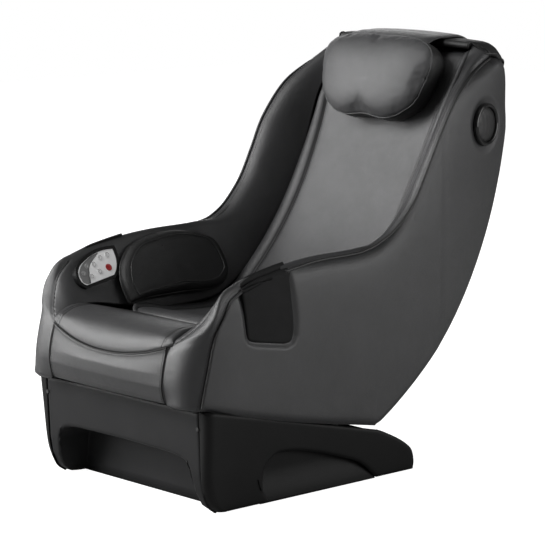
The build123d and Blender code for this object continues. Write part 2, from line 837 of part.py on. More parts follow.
def make_rear_cover():
    """Padded cover of the back: a curved shell that turns over the top of the chair."""
    with BuildPart() as cover:
        with BuildSketch(Plane.YZ):
            with BuildLine():
                crest_band(0, REAR_T)
                arc_edge(REAR_R - REAR_T, 74, REAR_LOW)
                Line(on_arc(REAR_R - REAR_T, REAR_LOW), on_arc(REAR_R, REAR_LOW))
                arc_edge(REAR_R, REAR_LOW, 74)
            make_face()
        extrude(amount=SIDE_X, both=True)
        with BuildSketch():
            with BuildLine():
                Spline(*PLAN)
                Spline(*[(-x, y) for x, y in PLAN])
                Line(PLAN[0], (-PLAN[0][0], PLAN[0][1]))
                Line(PLAN[-1], (-PLAN[-1][0], PLAN[-1][1]))
            make_face()
        extrude(amount=1200, mode=Mode.INTERSECT)
        with BuildSketch(Plane.XZ):
            with BuildLine():
                ThreePointArc((-SIDE_X, CROWN_EDGE_Z), (0, CREST_Z + CREST_R), (SIDE_X, CROWN_EDGE_Z))
                Polyline((SIDE_X, CROWN_EDGE_Z), (SIDE_X, 0), (-SIDE_X, 0), (-SIDE_X, CROWN_EDGE_Z))
            make_face()
        extrude(amount=700, both=True, mode=Mode.INTERSECT)
    save(cover, "rear_cover")


def crest_arc(radius, start, end):
    """Draws part of the round rear edge of the crest in the open BuildLine."""
    points = []
    for angle in (start, (start + end) / 2, end):
        turn = radians(angle)
        points.append((CREST_Y + radius * cos(turn), CREST_Z + radius * sin(turn)))
    ThreePointArc(*points)


def crest_band(lift, depth):
    """Outer and inner edges of the top of the rear cover, raised by lift."""
    outer_r = CREST_R + lift
    inner_r = outer_r - depth
    Line(on_arc(REAR_R + lift, 74), (CREST_Y + outer_r, CREST_Z))
    crest_arc(outer_r, 0, 90)
    Polyline((CREST_Y, CREST_Z + outer_r), (CREST_FRONT, CREST_Z + outer_r),
             (CREST_FRONT, CREST_Z + inner_r), (CREST_Y, CREST_Z + inner_r))
    crest_arc(inner_r, 90, 0)
    Line((CREST_Y + inner_r, CREST_Z), on_arc(REAR_R + lift - depth, 74))


STRAP_LIFT = 6.0
STRAP_T = 4.0


def make_pillow_strap():
    """Broad flap that holds the pillow, laid over the top of the back."""
    with BuildPart() as strap:
        with BuildSketch(Plane.YZ):
            with BuildLine():
                crest_band(STRAP_LIFT, STRAP_T)
                Line(on_arc(REAR_R + STRAP_LIFT, 74), on_arc(REAR_R + STRAP_LIFT - STRAP_T, 74))
            make_face()
        extrude(amount=175, both=True)
    save(strap, "pillow_strap")


def make_head_pillow():
    """Wedge-shaped head pillow that leans on the top of the pad."""
    with BuildPart() as pillow:
        with BuildSketch(Plane.YZ):
            with BuildLine():
                Polyline((300, 902), (376, 1120), (436, 1098), (344, 886), close=True)
            make_face()
        extrude(amount=212, both=True)
        fillet(pillow.edges().filter_by(Axis.X), 10)
    save(pillow, "head_pillow")


# Arm pads: the inner face slopes in and down to the seat
ARM_IN = 249.0
ARM_OUT = SIDE_X - SHELL_T - 12
SLOPE_AT = (280.0, 535.0)  # (x, z) of a point on the left arm's sloping face
SLOPE = 30.3  # slope of that face from upright, degrees
SLOPE_N = Vector(-cos(radians(SLOPE)), 0, sin(radians(SLOPE)))


def slope_plane(y, side=1):
    """Plane on an arm's sloping face: local x runs to the rear, local y up the slope."""
    normal = Vector(SLOPE_N.X * side, 0, SLOPE_N.Z)
    return Plane(origin=(SLOPE_AT[0] * side, y, SLOPE_AT[1]), x_dir=(0, 1, 0), z_dir=normal)


def make_arm_pads():
    """Foam arm between the side panel and the seat; the right one holds the control panel."""
    with BuildPart() as arm:
        with BuildSketch(Plane.YZ.offset(ARM_IN)):
            with BuildLine():
                Spline((-552, 284), (-536, 371), (-517, 450), (-454, 532), (-340, 574),
                       (-160, 598), (-34, 600), (60, 612))
                Polyline((60, 612), (60, 298), (-490, 298), (-500, 284), (-552, 284))
            make_face()
        extrude(amount=ARM_OUT - ARM_IN)
        slope_cut = Plane(origin=(SLOPE_AT[0], 0, SLOPE_AT[1]), x_dir=(0, 1, 0),
                          z_dir=tuple(SLOPE_N))
        with BuildSketch(slope_cut):
            Rectangle(1300, 600)
        extrude(amount=200, mode=Mode.SUBTRACT)
    save(arm, "arm_pad_left")
    with BuildPart() as right:
        mirror(arm.part, about=Plane.YZ)
        with BuildSketch(slope_plane(PANEL_Y, -1).offset(-PANEL_DEPTH - GAP)):
            with BuildLine():
                panel_outline(PANEL_RIM + GAP)
            make_face()
        extrude(amount=60, mode=Mode.SUBTRACT)
    save(right, "arm_pad_right")


def make_wing_pads():
    """Foam wings beside the back pad."""
    rear_r = 1005
    with BuildPart() as wing:
        with BuildSketch(Plane.YZ.offset(ARM_IN)):
            with BuildLine():
                Spline((62, 628), (172, 716), (258, 884), (323, 974), (398, 1020))
                Line((398, 1020), on_arc(rear_r, 77.5))
                arc_edge(rear_r, 77.5, 46)
                Polyline(on_arc(rear_r, 46), (62, 462), (62, 628))
            make_face()
        extrude(amount=ARM_OUT - ARM_IN + 12)
        add(plan_block(SHELL_T + GAP), mode=Mode.INTERSECT)
    save_pair(wing, "wing_pad")


AIRBAG_T = 6.0
HIP_T = 24.0


def hip_outline(inset):
    """D shape of the hip cushion on the sloping face."""
    left = -138 + inset
    right = 214 - inset
    bottom = -102 + inset
    Line((left + 10, bottom), (right - 52, bottom))
    Spline((right - 52, bottom), (right, -50), (right - 22, 12), (150 - inset, 52 - inset),
           (60, 72 - inset), (-20, 66 - inset), (-84 + inset, 42 - inset), (left + 8, -12),
           (left, -60), (left + 10, bottom))


def make_hip_cushions():
    """Side cushions at the hips, each on a flat airbag that pushes it inwards."""
    place = slope_plane(-180)
    with BuildPart() as airbag:
        with BuildSketch(place.offset(GAP / 2)):
            with BuildLine():
                hip_outline(14)
            make_face()
        extrude(amount=AIRBAG_T)
    save_group(airbag, "hip_airbags")
    with BuildPart() as cushion:
        with BuildSketch(place.offset(AIRBAG_T + GAP)):
            with BuildLine():
                hip_outline(0)
            make_face()
        extrude(amount=HIP_T)
    save_pair(cushion, "hip_cushion")


# ---------------------------------------------------------------- control panel on the right arm

PANEL_Y = -387.0
PANEL_RIM = 9.0
PANEL_DEPTH = 15.0
PANEL_PROUD = 6.0
FACE_T = 2.5
# name: (along the arm, up the slope, radius)
BUTTONS = {
    "button_power": (37.0, -1.4, 9.5),
    "button_auto": (45.6, 34.0, 7.5),
    "button_knead": (19.5, 29.0, 7.5),
    "button_tap": (-7.7, 12.7, 7.5),
    "button_heat": (3.5, -8.8, 7.5),
    "button_air": (-27.8, -19.4, 7.0),
    "button_up": (-33.0, 10.0, 6.5),
    "button_down": (-50.0, -9.0, 6.5),
}
PRESS_ROOM = 0.3  # radial gap around a button


def panel_outline(spread):
    """Outline of the panel: a long arc above a straight lower edge, made wider by spread."""
    Spline((70 + spread, 48 + spread), (20, 45 + spread), (-32 - spread * 0.5, 26 + spread * 0.9),
           (-66 - spread, -2), (-66 - spread, -32), (-52 - spread * 0.5, -42 - spread))
    Line((-52 - spread * 0.5, -42 - spread), (46, -24 - spread))
    Spline((46, -24 - spread), (60 + spread, -8), (70 + spread, 48 + spread))


def make_panel():
    """Bezel sunk in the arm, face plate, circuit board and the buttons with their flanges."""
    base = slope_plane(PANEL_Y, -1)
    with BuildPart() as bezel:
        with BuildSketch(base.offset(-PANEL_DEPTH)):
            with BuildLine():
                panel_outline(PANEL_RIM)
            make_face()
        extrude(amount=PANEL_DEPTH + PANEL_PROUD)
        with BuildSketch(base.offset(-PANEL_DEPTH + 3)):
            with BuildLine():
                panel_outline(-3)
            make_face()
        extrude(amount=PANEL_DEPTH + PANEL_PROUD, mode=Mode.SUBTRACT)
        with BuildSketch(base.offset(2)):
            with BuildLine():
                panel_outline(0.5)
            make_face()
        extrude(amount=20, mode=Mode.SUBTRACT)
    save(bezel, "panel_bezel")
    with BuildPart() as face:
        with BuildSketch(base.offset(2)):
            with BuildLine():
                panel_outline(0)
            make_face()
        extrude(amount=FACE_T)
        for u, v, radius in BUTTONS.values():
            with BuildSketch(base.offset(1)):
                with Locations((u, v)):
                    Circle(radius + PRESS_ROOM)
            extrude(amount=10, mode=Mode.SUBTRACT)
    save(face, "panel_face")
    with BuildPart() as board:
        with BuildSketch(base.offset(-9)):
            with BuildLine():
                panel_outline(-5)
            make_face()
        extrude(amount=1.6)
    save(board, "panel_board")
    for name, (u, v, radius) in BUTTONS.items():
        with BuildPart() as button:
            with BuildSketch(base.offset(-3)):
                with Locations((u, v)):
                    Circle(radius)
            extrude(amount=3 + 2 + FACE_T + 1.2)
            with BuildSketch(base.offset(-3)):
                with Locations((u, v)):
                    Circle(radius + 1.2)
            extrude(amount=1.5)
        save(button, name)


# ---------------------------------------------------------------- equipment in the base


def make_equipment():
    """Control box and air pump on the floor plate."""
    deck = FOOT_H + 33
    with BuildPart() as box:
        box_between((-130, -380, deck), (130, -190, deck + 95))
        fillet(box.edges().filter_by(Axis.Z), 6)
        with Locations((0, -285, deck + 95)):
            with GridLocations(0, 14, 1, 8):
                Box(160, 6, 8, mode=Mode.SUBTRACT)
    save(box, "control_box")
    with BuildPart() as pump:
        box_between((-70, -120, deck), (70, 20, deck + 70))
        fillet(pump.edges().filter_by(Axis.Z), 14)
        with Locations((-30, -120, deck + 40), (30, -120, deck + 40)):
            Cylinder(5, 40, rotation=(90, 0, 0))
    save(pump, "air_pump")


make_base_frame()
make_feet()
make_transport_wheels()
make_front_cover()
make_side_covers()
make_rear_cover_base()
make_power_inlet()
make_power_switch()
make_cover_screws()
make_equipment()
make_body_frame()
make_guide_rails()
make_carriage_frame()
make_guide_wheels()
make_drive_shaft()
make_motors()
make_knead_shaft()
make_massage_arms()
make_seat_pan()
make_seat_cushion()
make_front_apron()
make_back_pad()
make_side_shells()
make_speakers()
make_side_pockets()
make_rear_cover()
make_pillow_strap()
make_head_pillow()
make_arm_pads()
make_wing_pads()
make_hip_cushions()
make_panel()
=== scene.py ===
"""Massage chair: the looks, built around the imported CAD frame. Metres, +Z up, the front towards -Y."""

import json
import math

import bmesh
import bpy
import numpy as np
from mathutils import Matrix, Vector
from mathutils.bvhtree import BVHTree


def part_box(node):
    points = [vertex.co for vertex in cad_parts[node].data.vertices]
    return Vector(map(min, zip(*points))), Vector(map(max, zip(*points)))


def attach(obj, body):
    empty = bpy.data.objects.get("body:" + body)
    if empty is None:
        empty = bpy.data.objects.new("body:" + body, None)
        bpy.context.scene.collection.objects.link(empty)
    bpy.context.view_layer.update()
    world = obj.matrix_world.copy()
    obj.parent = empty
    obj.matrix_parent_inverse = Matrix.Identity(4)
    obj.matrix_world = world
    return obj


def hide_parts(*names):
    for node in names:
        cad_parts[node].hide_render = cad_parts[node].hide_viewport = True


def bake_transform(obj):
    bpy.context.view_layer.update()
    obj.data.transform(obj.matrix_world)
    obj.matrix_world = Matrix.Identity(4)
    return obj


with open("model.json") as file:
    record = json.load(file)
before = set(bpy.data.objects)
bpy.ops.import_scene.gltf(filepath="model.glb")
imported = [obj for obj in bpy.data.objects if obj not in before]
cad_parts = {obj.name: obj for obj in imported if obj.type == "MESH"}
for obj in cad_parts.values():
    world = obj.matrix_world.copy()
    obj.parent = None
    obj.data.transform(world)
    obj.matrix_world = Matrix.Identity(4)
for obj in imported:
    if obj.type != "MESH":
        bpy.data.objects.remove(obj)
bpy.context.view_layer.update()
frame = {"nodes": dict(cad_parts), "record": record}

# ------------------------------------------------------------------ shared dimensions, from the frame

ARC = (-0.5515, 1.1704)  # (y, z) centre of the curved back, as in the CAD
PAD_R = 0.950
REAR_R = 1.190
CREST = (0.518, 1.046)  # (y, z) centre of the rounded top
CREST_R = 0.078
PAD_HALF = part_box("back_pad")[1].x
SEAT_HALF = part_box("seat_cushion")[1].x + 0.003
SIDES = ((1, "left"), (-1, "right"))

# Outer face of a side in plan: (y, x)
PLAN = [(-0.563, 0.335), (-0.365, 0.348), (0.185, 0.348), (0.290, 0.344), (0.371, 0.334), (0.440, 0.322),
        (0.505, 0.308), (0.560, 0.292), (0.602, 0.275)]

# Stations along each side, front foot to top: seam (x, y, z), inner edge (x, y, z),
# and how far the skin stands proud.
STATIONS = [
    (0.3280, -0.552, 0.277, 0.229, -0.578, 0.279, 0.022),
    (0.3310, -0.534, 0.360, 0.228, -0.588, 0.342, 0.022),
    (0.3350, -0.511, 0.455, 0.229, -0.568, 0.422, 0.020),
    (0.3370, -0.481, 0.507, 0.232, -0.530, 0.448, 0.028),
    (0.3370, -0.458, 0.541, 0.234, -0.486, 0.456, 0.029),
    (0.3360, -0.400, 0.569, 0.235, -0.425, 0.455, 0.0285),
    (0.3355, -0.340, 0.583, 0.235, -0.345, 0.440, 0.0275),
    (0.3345, -0.250, 0.597, 0.235, -0.250, 0.425, 0.026),
    (0.3285, -0.160, 0.606, 0.236, -0.155, 0.414, 0.022),
    (0.3275, -0.034, 0.609, 0.240, -0.015, 0.420, 0.020),
    (0.3265, 0.015, 0.615, 0.244, 0.058, 0.450, 0.024),
    (0.3260, 0.055, 0.6265, 0.247, 0.130, 0.500, 0.027),
    (0.3305, 0.110, 0.658, 0.249, 0.193, 0.571, 0.028),
    (0.3356, 0.172, 0.7225, 0.249, 0.261, 0.668, 0.026),
    (0.3380, 0.217, 0.801, 0.249, 0.306, 0.751, 0.024),
    (0.3396, 0.263, 0.887, 0.249, 0.345, 0.840, 0.021),
    (0.3297, 0.331, 0.975, 0.249, 0.380, 0.940, 0.017),
    (0.3125, 0.400, 1.0245, 0.249, 0.420, 1.010, 0.017),
    (0.2940, 0.453, 1.050, 0.248, 0.455, 1.066, 0.017),
    (0.2810, 0.512, 1.074, 0.247, 0.484, 1.110, 0.016),
]


# ------------------------------------------------------------------ mesh helpers

def smooth_curve(points, count, measure=None):
    """Even samples of a smooth curve through the points; measure counts the columns that give its length."""
    pts = np.array(points, float)
    ext = np.vstack([2 * pts[0] - pts[1], pts, 2 * pts[-1] - pts[-2]])
    dense = []
    for p0, p1, p2, p3 in zip(ext, ext[1:], ext[2:], ext[3:]):
        t = np.linspace(0, 1, 24, endpoint=False)[:, None]
        dense.append(0.5 * (2 * p1 + (p2 - p0) * t + (2 * p0 - 5 * p1 + 4 * p2 - p3) * t ** 2
                            + (3 * p1 - p0 - 3 * p2 + p3) * t ** 3))
    dense = np.vstack(dense + [pts[-1:]])
    part = dense[:, :measure] if measure else dense
    length = np.concatenate([[0], np.cumsum(np.linalg.norm(np.diff(part, axis=0), axis=1))])
    at = np.linspace(0, length[-1], count)
    return np.column_stack([np.interp(at, length, dense[:, k]) for k in range(dense.shape[1])])


def on_arc(radius, degrees):
    """(y, z) on a circle about the back's centre, measured up from straight down."""
    angle = math.radians(degrees)
    return (ARC[0] + radius * math.sin(angle), ARC[1] - radius * math.cos(angle))


PLAN_DENSE = smooth_curve(PLAN, 300)


def plan_x(y):
    """Outer face of a side at y."""
    return np.interp(y, PLAN_DENSE[:, 0], PLAN_DENSE[:, 1])


def mirrored(sign):
    """Scale that carries the left side's points to the side with this sign."""
    return np.array([sign, 1, 1])


def unit(vectors):
    """Vectors of length one."""
    return vectors / np.linalg.norm(vectors, axis=-1, keepdims=True)


def path_normals(path):
    """Unit normals on the left of a (y, z) path."""
    tangent = unit(np.gradient(path, axis=0))
    return np.column_stack([-tangent[:, 1], tangent[:, 0]])


def gauss(distance, width):
    return np.exp(-(distance / width) ** 2)


def ramp(value, low, high):
    """Smooth step from 0 at low to 1 at high."""
    t = np.clip((value - low) / (high - low), 0, 1)
    return t * t * (3 - 2 * t)


def hang(pieces, body):
    """Rides the pieces on a body."""
    for piece in pieces:
        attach(piece, body)


def new_object(name, verts, faces, material, smooth=True):
    """A mesh object with its normals made consistent."""
    mesh = bpy.data.meshes.new(name)
    mesh.from_pydata([tuple(v) for v in verts], [], faces)
    work = bmesh.new()
    work.from_mesh(mesh)
    bmesh.ops.remove_doubles(work, verts=work.verts, dist=1e-6)
    bmesh.ops.recalc_face_normals(work, faces=work.faces)
    work.to_mesh(mesh)
    work.free()
    if smooth:
        mesh.polygons.foreach_set("use_smooth", [True] * len(mesh.polygons))
    obj = bpy.data.objects.new(name, mesh)
    bpy.context.scene.collection.objects.link(obj)
    mesh.materials.append(material)
    return obj


def grid_faces(rows, columns, offset=0, flip=False):
    """Quads of a grid whose points are numbered row by row from offset."""
    faces = []
    for i in range(rows - 1):
        for j in range(columns - 1):
            a = offset + i * columns + j
            quad = (a, a + 1, a + columns + 1, a + columns)
            faces.append(quad[::-1] if flip else quad)
    return faces


def two_skins(name, outer, inner, material):
    """A closed solid between two grids of the same size, joined around their borders."""
    rows, columns = outer.shape[:2]
    count = rows * columns
    faces = grid_faces(rows, columns) + grid_faces(rows, columns, count, True)
    border = [(0, j) for j in range(columns)]
    border += [(i, columns - 1) for i in range(1, rows)]
    border += [(rows - 1, j) for j in range(columns - 2, -1, -1)]
    border += [(i, 0) for i in range(rows - 2, 0, -1)]
    index = [i * columns + j for i, j in border]
    for a, b in zip(index, index[1:] + index[:1]):
        faces.append((b, a, a + count, b + count))
    verts = np.vstack([outer.reshape(-1, 3), inner.reshape(-1, 3)])
    return new_object(name, verts, faces, material)


def loft(name, loops, material):
    """A closed solid through a run of closed loops, with both ends capped."""
    loops = np.array(loops, float)
    rows, columns = loops.shape[:2]
    faces = []
    for i in range(rows - 1):
        for j in range(columns):
            k = (j + 1) % columns
            a = i * columns
            faces.append((a + j, a + k, a + columns + k, a + columns + j))
    verts = loops.reshape(-1, 3)
    ends = np.array([loops[0].mean(0), loops[-1].mean(0)])
    first = rows * columns
    for j in range(columns):
        k = (j + 1) % columns
        faces.append((j, first, k))
        faces.append(((rows - 1) * columns + j, (rows - 1) * columns + k, first + 1))
    return new_object(name, np.vstack([verts, ends]), faces, material)


def frames_along(path):
    """Unit tangents and two steady normals at each point of a path."""
    tangent = np.gradient(path, axis=0)
    tangent /= np.linalg.norm(tangent, axis=1)[:, None] + 1e-12
    side = np.zeros_like(path)
    guess = np.array([0.31, 0.17, 0.93])
    for i, t in enumerate(tangent):
        guess = guess - t * guess.dot(t)
        guess /= np.linalg.norm(guess)
        side[i] = guess
    return tangent, side, np.cross(tangent, side)


def cord_rings(path, side, up, radius, sides):
    """Round sections of a cord along a path."""
    angle = np.linspace(0, 2 * np.pi, sides, endpoint=False)
    ring = np.cos(angle)[None, :, None] * side[:, None] + np.sin(angle)[None, :, None] * up[:, None]
    return path[:, None] + ring * np.broadcast_to(radius, len(path))[:, None, None]


def tube(name, path, radius, material, sides=10):
    """A cord along a path, closed at both ends; radius may vary along it."""
    path = np.array(path, float)
    _, side, up = frames_along(path)
    return loft(name, cord_rings(path, side, up, radius, sides), material)


def closed_tube(name, path, radius, material, sides=10):
    """A cord around a closed path."""
    path = np.array(path, float)
    looped = np.vstack([path[-2:], path, path[:2]])
    tangent = unit(np.gradient(looped, axis=0)[2:-2])
    side = path - path.mean(0)
    side = unit(side - tangent * (side * tangent).sum(1)[:, None])
    loops = cord_rings(path, side, np.cross(tangent, side), radius, sides)
    rows = len(path)
    faces = []
    for i in range(rows):
        n = (i + 1) % rows
        for j in range(sides):
            k = (j + 1) % sides
            faces.append((i * sides + j, i * sides + k, n * sides + k, n * sides + j))
    return new_object(name, loops.reshape(-1, 3), faces, material)


STITCH = 0.0048  # length of a stitch
STITCH_GAP = 0.0026
STITCH_R = 0.0007
STITCH_SIDES = 6


def stitches(name, path, material):
    """A row of short raised threads along a path."""
    path = np.array(path, float)
    steps = np.linalg.norm(np.diff(path, axis=0), axis=1)
    total = np.concatenate([[0], np.cumsum(steps)])
    size = np.array([0.35, 1.0, 1.0, 0.35]) * STITCH_R
    verts, faces = [], []
    start = 0.0
    while start + STITCH < total[-1]:
        at = start + STITCH * np.array([0.0, 0.25, 0.75, 1.0])
        line = np.column_stack([np.interp(at, total, path[:, k]) for k in range(3)])
        _, side, up = frames_along(line)
        base = len(verts)
        for i in range(len(size)):
            for j in range(STITCH_SIDES):
                turn = j * 2 * math.pi / STITCH_SIDES
                verts.append(line[i] + size[i] * (math.cos(turn) * side[i] + math.sin(turn) * up[i]))
        for i in range(len(size) - 1):
            row = base + i * STITCH_SIDES
            for j in range(STITCH_SIDES):
                k = (j + 1) % STITCH_SIDES
                faces.append((row + j, row + k, row + STITCH_SIDES + k, row + STITCH_SIDES + j))
        last = base + (len(size) - 1) * STITCH_SIDES
        faces.append(tuple(base + j for j in reversed(range(STITCH_SIDES))))
        faces.append(tuple(last + j for j in range(STITCH_SIDES)))
        start += STITCH + STITCH_GAP
    return new_object(name, verts, faces, material)


def coons(low, high, left, right, u=None, v=None):
    """A grid that fills four border lines; low and high run the same way, as do left and right.

    u and v are the spacings across and up, even unless given."""
    u = (np.linspace(0, 1, len(low)) if u is None else u)[None, :, None]
    v = (np.linspace(0, 1, len(left)) if v is None else v)[:, None, None]
    return ((1 - v) * low[None] + v * high[None] + (1 - u) * left[:, None] + u * right[:, None]
            - (1 - u) * (1 - v) * low[0] - u * (1 - v) * low[-1] - (1 - u) * v * high[0] - u * v * high[-1])


def run_of(points, count):
    """Even samples along straight pieces."""
    pts = np.array(points, float)
    length = np.concatenate([[0], np.cumsum(np.linalg.norm(np.diff(pts, axis=0), axis=1))])
    at = np.linspace(0, length[-1], count)
    return np.column_stack([np.interp(at, length, pts[:, k]) for k in range(2)])


def grid_normals(grid):
    """Unit normals of a grid surface."""
    normal = np.cross(np.gradient(grid, axis=0), np.gradient(grid, axis=1))
    return normal / (np.linalg.norm(normal, axis=2)[..., None] + 1e-12)


def evaluated_mesh(obj):
    """The object's mesh with its modifiers applied."""
    graph = bpy.context.evaluated_depsgraph_get()
    return bpy.data.meshes.new_from_object(obj.evaluated_get(graph))


def apply_modifiers(obj):
    bpy.context.view_layer.update()
    mesh = evaluated_mesh(obj)
    obj.modifiers.clear()
    old = obj.data
    obj.data = mesh
    bpy.data.meshes.remove(old)
    mesh.polygons.foreach_set("use_smooth", [True] * len(mesh.polygons))
    return obj


def vertex_array(obj):
    co = np.empty(len(obj.data.vertices) * 3)
    obj.data.vertices.foreach_get("co", co)
    return co.reshape(-1, 3)


def set_vertices(obj, co):
    obj.data.vertices.foreach_set("co", np.ascontiguousarray(co, float).ravel())
    obj.data.update()


CLOTH_FRAMES = 20


def add_smooth(obj, rounds):
    relax = obj.modifiers.new("relax", "SMOOTH")
    relax.factor = 0.5
    relax.iterations = rounds


def add_remesh(obj, voxel):
    remesh = obj.modifiers.new("remesh", "REMESH")
    remesh.mode = "VOXEL"
    remesh.voxel_size = voxel


def blow_up(obj, cap, pressure):
    """Runs the cloth under pressure and keeps each point within cap of where it was."""
    start = vertex_array(obj)
    cloth = obj.modifiers.new("cloth", "CLOTH")
    cloth.settings.quality = 5
    cloth.settings.use_pressure = True
    cloth.settings.uniform_pressure_force = pressure
    cloth.settings.effector_weights.gravity = 0
    cloth.settings.tension_stiffness = 15
    cloth.settings.compression_stiffness = 15
    cloth.settings.bending_stiffness = 0.8
    cloth.point_cache.frame_start = 1
    cloth.point_cache.frame_end = CLOTH_FRAMES
    for number in range(1, CLOTH_FRAMES + 1):
        bpy.context.scene.frame_set(number)
    mesh = evaluated_mesh(obj)
    moved = np.empty(len(mesh.vertices) * 3)
    mesh.vertices.foreach_get("co", moved)
    step = moved.reshape(-1, 3) - start
    size = np.linalg.norm(step, axis=1)[:, None]
    step *= np.minimum(1.0, cap / np.maximum(size, 1e-9))
    obj.modifiers.clear()
    bpy.data.meshes.remove(mesh)
    set_vertices(obj, start + step)
    bpy.context.scene.frame_set(1)
    add_smooth(obj, 4)


def puff(obj, voxel, cap, pressure):
    """Swells a closed form as sewn fabric over foam: even faces, then cloth under pressure."""
    add_remesh(obj, voxel)
    apply_modifiers(obj)
    blow_up(obj, cap, pressure)
    subdivide = obj.modifiers.new("subdivide", "SUBSURF")
    subdivide.levels = 1
    subdivide.render_levels = 1
    apply_modifiers(obj)


def softened_copy(node, name, voxel, material):
    """A moulded version of a CAD cover: the same shape with its edges rounded off."""
    source = frame["nodes"][node]
    obj = bpy.data.objects.new(name, source.data.copy())
    bpy.context.scene.collection.objects.link(obj)
    obj.data.materials.clear()
    obj.data.materials.append(material)
    add_remesh(obj, voxel)
    add_smooth(obj, 6)
    apply_modifiers(obj)
    return obj


# ------------------------------------------------------------------ materials

def node_material(name):
    """A new material with its shader, ready for nodes: (material, nodes, link, shader)."""
    material = bpy.data.materials.new(name)
    material.use_nodes = True
    nodes = material.node_tree.nodes
    shader = nodes["Principled BSDF"]
    return material, nodes, material.node_tree.links.new, shader


def texture_place(nodes, link, scale=(1, 1, 1)):
    place = nodes.new("ShaderNodeTexCoord")
    mapping = nodes.new("ShaderNodeMapping")
    mapping.inputs["Scale"].default_value = scale
    link(place.outputs["Object"], mapping.inputs["Vector"])
    return mapping.outputs["Vector"]


def noise_texture(nodes, link, vector, scale, detail=4.0, roughness=0.55):
    texture = nodes.new("ShaderNodeTexNoise")
    texture.inputs["Scale"].default_value = scale
    texture.inputs["Detail"].default_value = detail
    texture.inputs["Roughness"].default_value = roughness
    link(vector, texture.inputs["Vector"])
    return texture.outputs["Fac"]


def colour_ramp(nodes, link, value, stops):
    ramp_node = nodes.new("ShaderNodeValToRGB")
    elements = ramp_node.color_ramp.elements
    while len(elements) < len(stops):
        elements.new(0.5)
    for element, (at, colour) in zip(elements, stops):
        element.position = at
        element.color = (*colour, 1)
    link(value, ramp_node.inputs["Fac"])
    return ramp_node.outputs["Color"]


def bump(nodes, link, height, strength, distance, normal=None):
    node = nodes.new("ShaderNodeBump")
    node.inputs["Strength"].default_value = strength
    node.inputs["Distance"].default_value = distance
    link(height, node.inputs["Height"])
    if normal is not None:
        link(normal, node.inputs["Normal"])
    return node.outputs["Normal"]


def grey(value, tint=0.0):
    return (value, value, value * (1 + tint))


def leather(name, dark, light, rough, wrinkle=0.35, coat=0.0):
    """Coated leather: pebble grain, faint large creases, and a sheen that varies."""
    material, nodes, link, shader = node_material(name)
    place = texture_place(nodes, link)
    cells = nodes.new("ShaderNodeTexVoronoi")
    cells.feature = "DISTANCE_TO_EDGE"
    cells.inputs["Scale"].default_value = 520.0
    link(place, cells.inputs["Vector"])
    patches = noise_texture(nodes, link, place, 7.0, 5.0, 0.6)
    colour = colour_ramp(nodes, link, patches, [(0.3, dark), (0.72, light)])
    link(colour, shader.inputs["Base Color"])
    sheen = colour_ramp(nodes, link, noise_texture(nodes, link, place, 60.0, 3.0),
                        [(0.25, grey(rough - 0.05)), (0.8, grey(rough + 0.06))])
    link(sheen, shader.inputs["Roughness"])
    creases = noise_texture(nodes, link, place, 28.0, 6.0, 0.62)
    first = bump(nodes, link, creases, wrinkle, 0.0016)
    second = bump(nodes, link, cells.outputs["Distance"], 0.9, 0.0006, first)
    link(second, shader.inputs["Normal"])
    shader.inputs["Specular IOR Level"].default_value = 0.5
    shader.inputs["Coat Weight"].default_value = coat
    shader.inputs["Coat Roughness"].default_value = 0.4
    return material


def moulded(name, dark, light, rough):
    """Textured plastic: fine spark-eroded grain with slight tone changes."""
    material, nodes, link, shader = node_material(name)
    place = texture_place(nodes, link)
    fine = noise_texture(nodes, link, place, 900.0, 2.0)
    broad = noise_texture(nodes, link, place, 9.0, 4.0)
    link(colour_ramp(nodes, link, broad, [(0.3, dark), (0.75, light)]), shader.inputs["Base Color"])
    link(colour_ramp(nodes, link, fine, [(0.3, grey(rough - 0.05)), (0.7, grey(rough + 0.07))]),
         shader.inputs["Roughness"])
    link(bump(nodes, link, fine, 0.5, 0.0003), shader.inputs["Normal"])
    shader.inputs["Specular IOR Level"].default_value = 0.22
    return material


def metal(name, dark, light, rough, brushed=True):
    """Brushed or powder-coated steel."""
    material, nodes, link, shader = node_material(name)
    place = texture_place(nodes, link, (6, 120, 120) if brushed else (1, 1, 1))
    streaks = noise_texture(nodes, link, place, 12.0 if brushed else 300.0, 4.0)
    link(colour_ramp(nodes, link, streaks, [(0.3, dark), (0.7, light)]), shader.inputs["Base Color"])
    link(colour_ramp(nodes, link, streaks, [(0.2, grey(rough - 0.06)), (0.8, grey(rough + 0.1))]),
         shader.inputs["Roughness"])
    link(bump(nodes, link, streaks, 0.15, 0.0002), shader.inputs["Normal"])
    shader.inputs["Metallic"].default_value = 1.0 if brushed else 0.2
    return material


def woven(name, dark, light, rough=0.75, pitch=1400.0):
    """Close-woven cloth: crossed thread waves over a soft tone change."""
    material, nodes, link, shader = node_material(name)
    place = texture_place(nodes, link)
    waves = []
    for direction in ("Y", "Z"):
        wave = nodes.new("ShaderNodeTexWave")
        wave.bands_direction = direction
        wave.inputs["Scale"].default_value = pitch / 6.28  # the texture has 6.28 waves in a unit
        wave.inputs["Distortion"].default_value = 0.6
        link(place, wave.inputs["Vector"])
        waves.append(wave.outputs["Fac"])
    join = nodes.new("ShaderNodeMath")
    join.operation = "MAXIMUM"
    link(waves[0], join.inputs[0])
    link(waves[1], join.inputs[1])
    broad = noise_texture(nodes, link, place, 16.0, 4.0)
    link(colour_ramp(nodes, link, broad, [(0.3, dark), (0.75, light)]), shader.inputs["Base Color"])
    link(bump(nodes, link, join.outputs[0], 0.5, 0.0004), shader.inputs["Normal"])
    shader.inputs["Roughness"].default_value = rough
    shader.inputs["Specular IOR Level"].default_value = 0.2
    return material


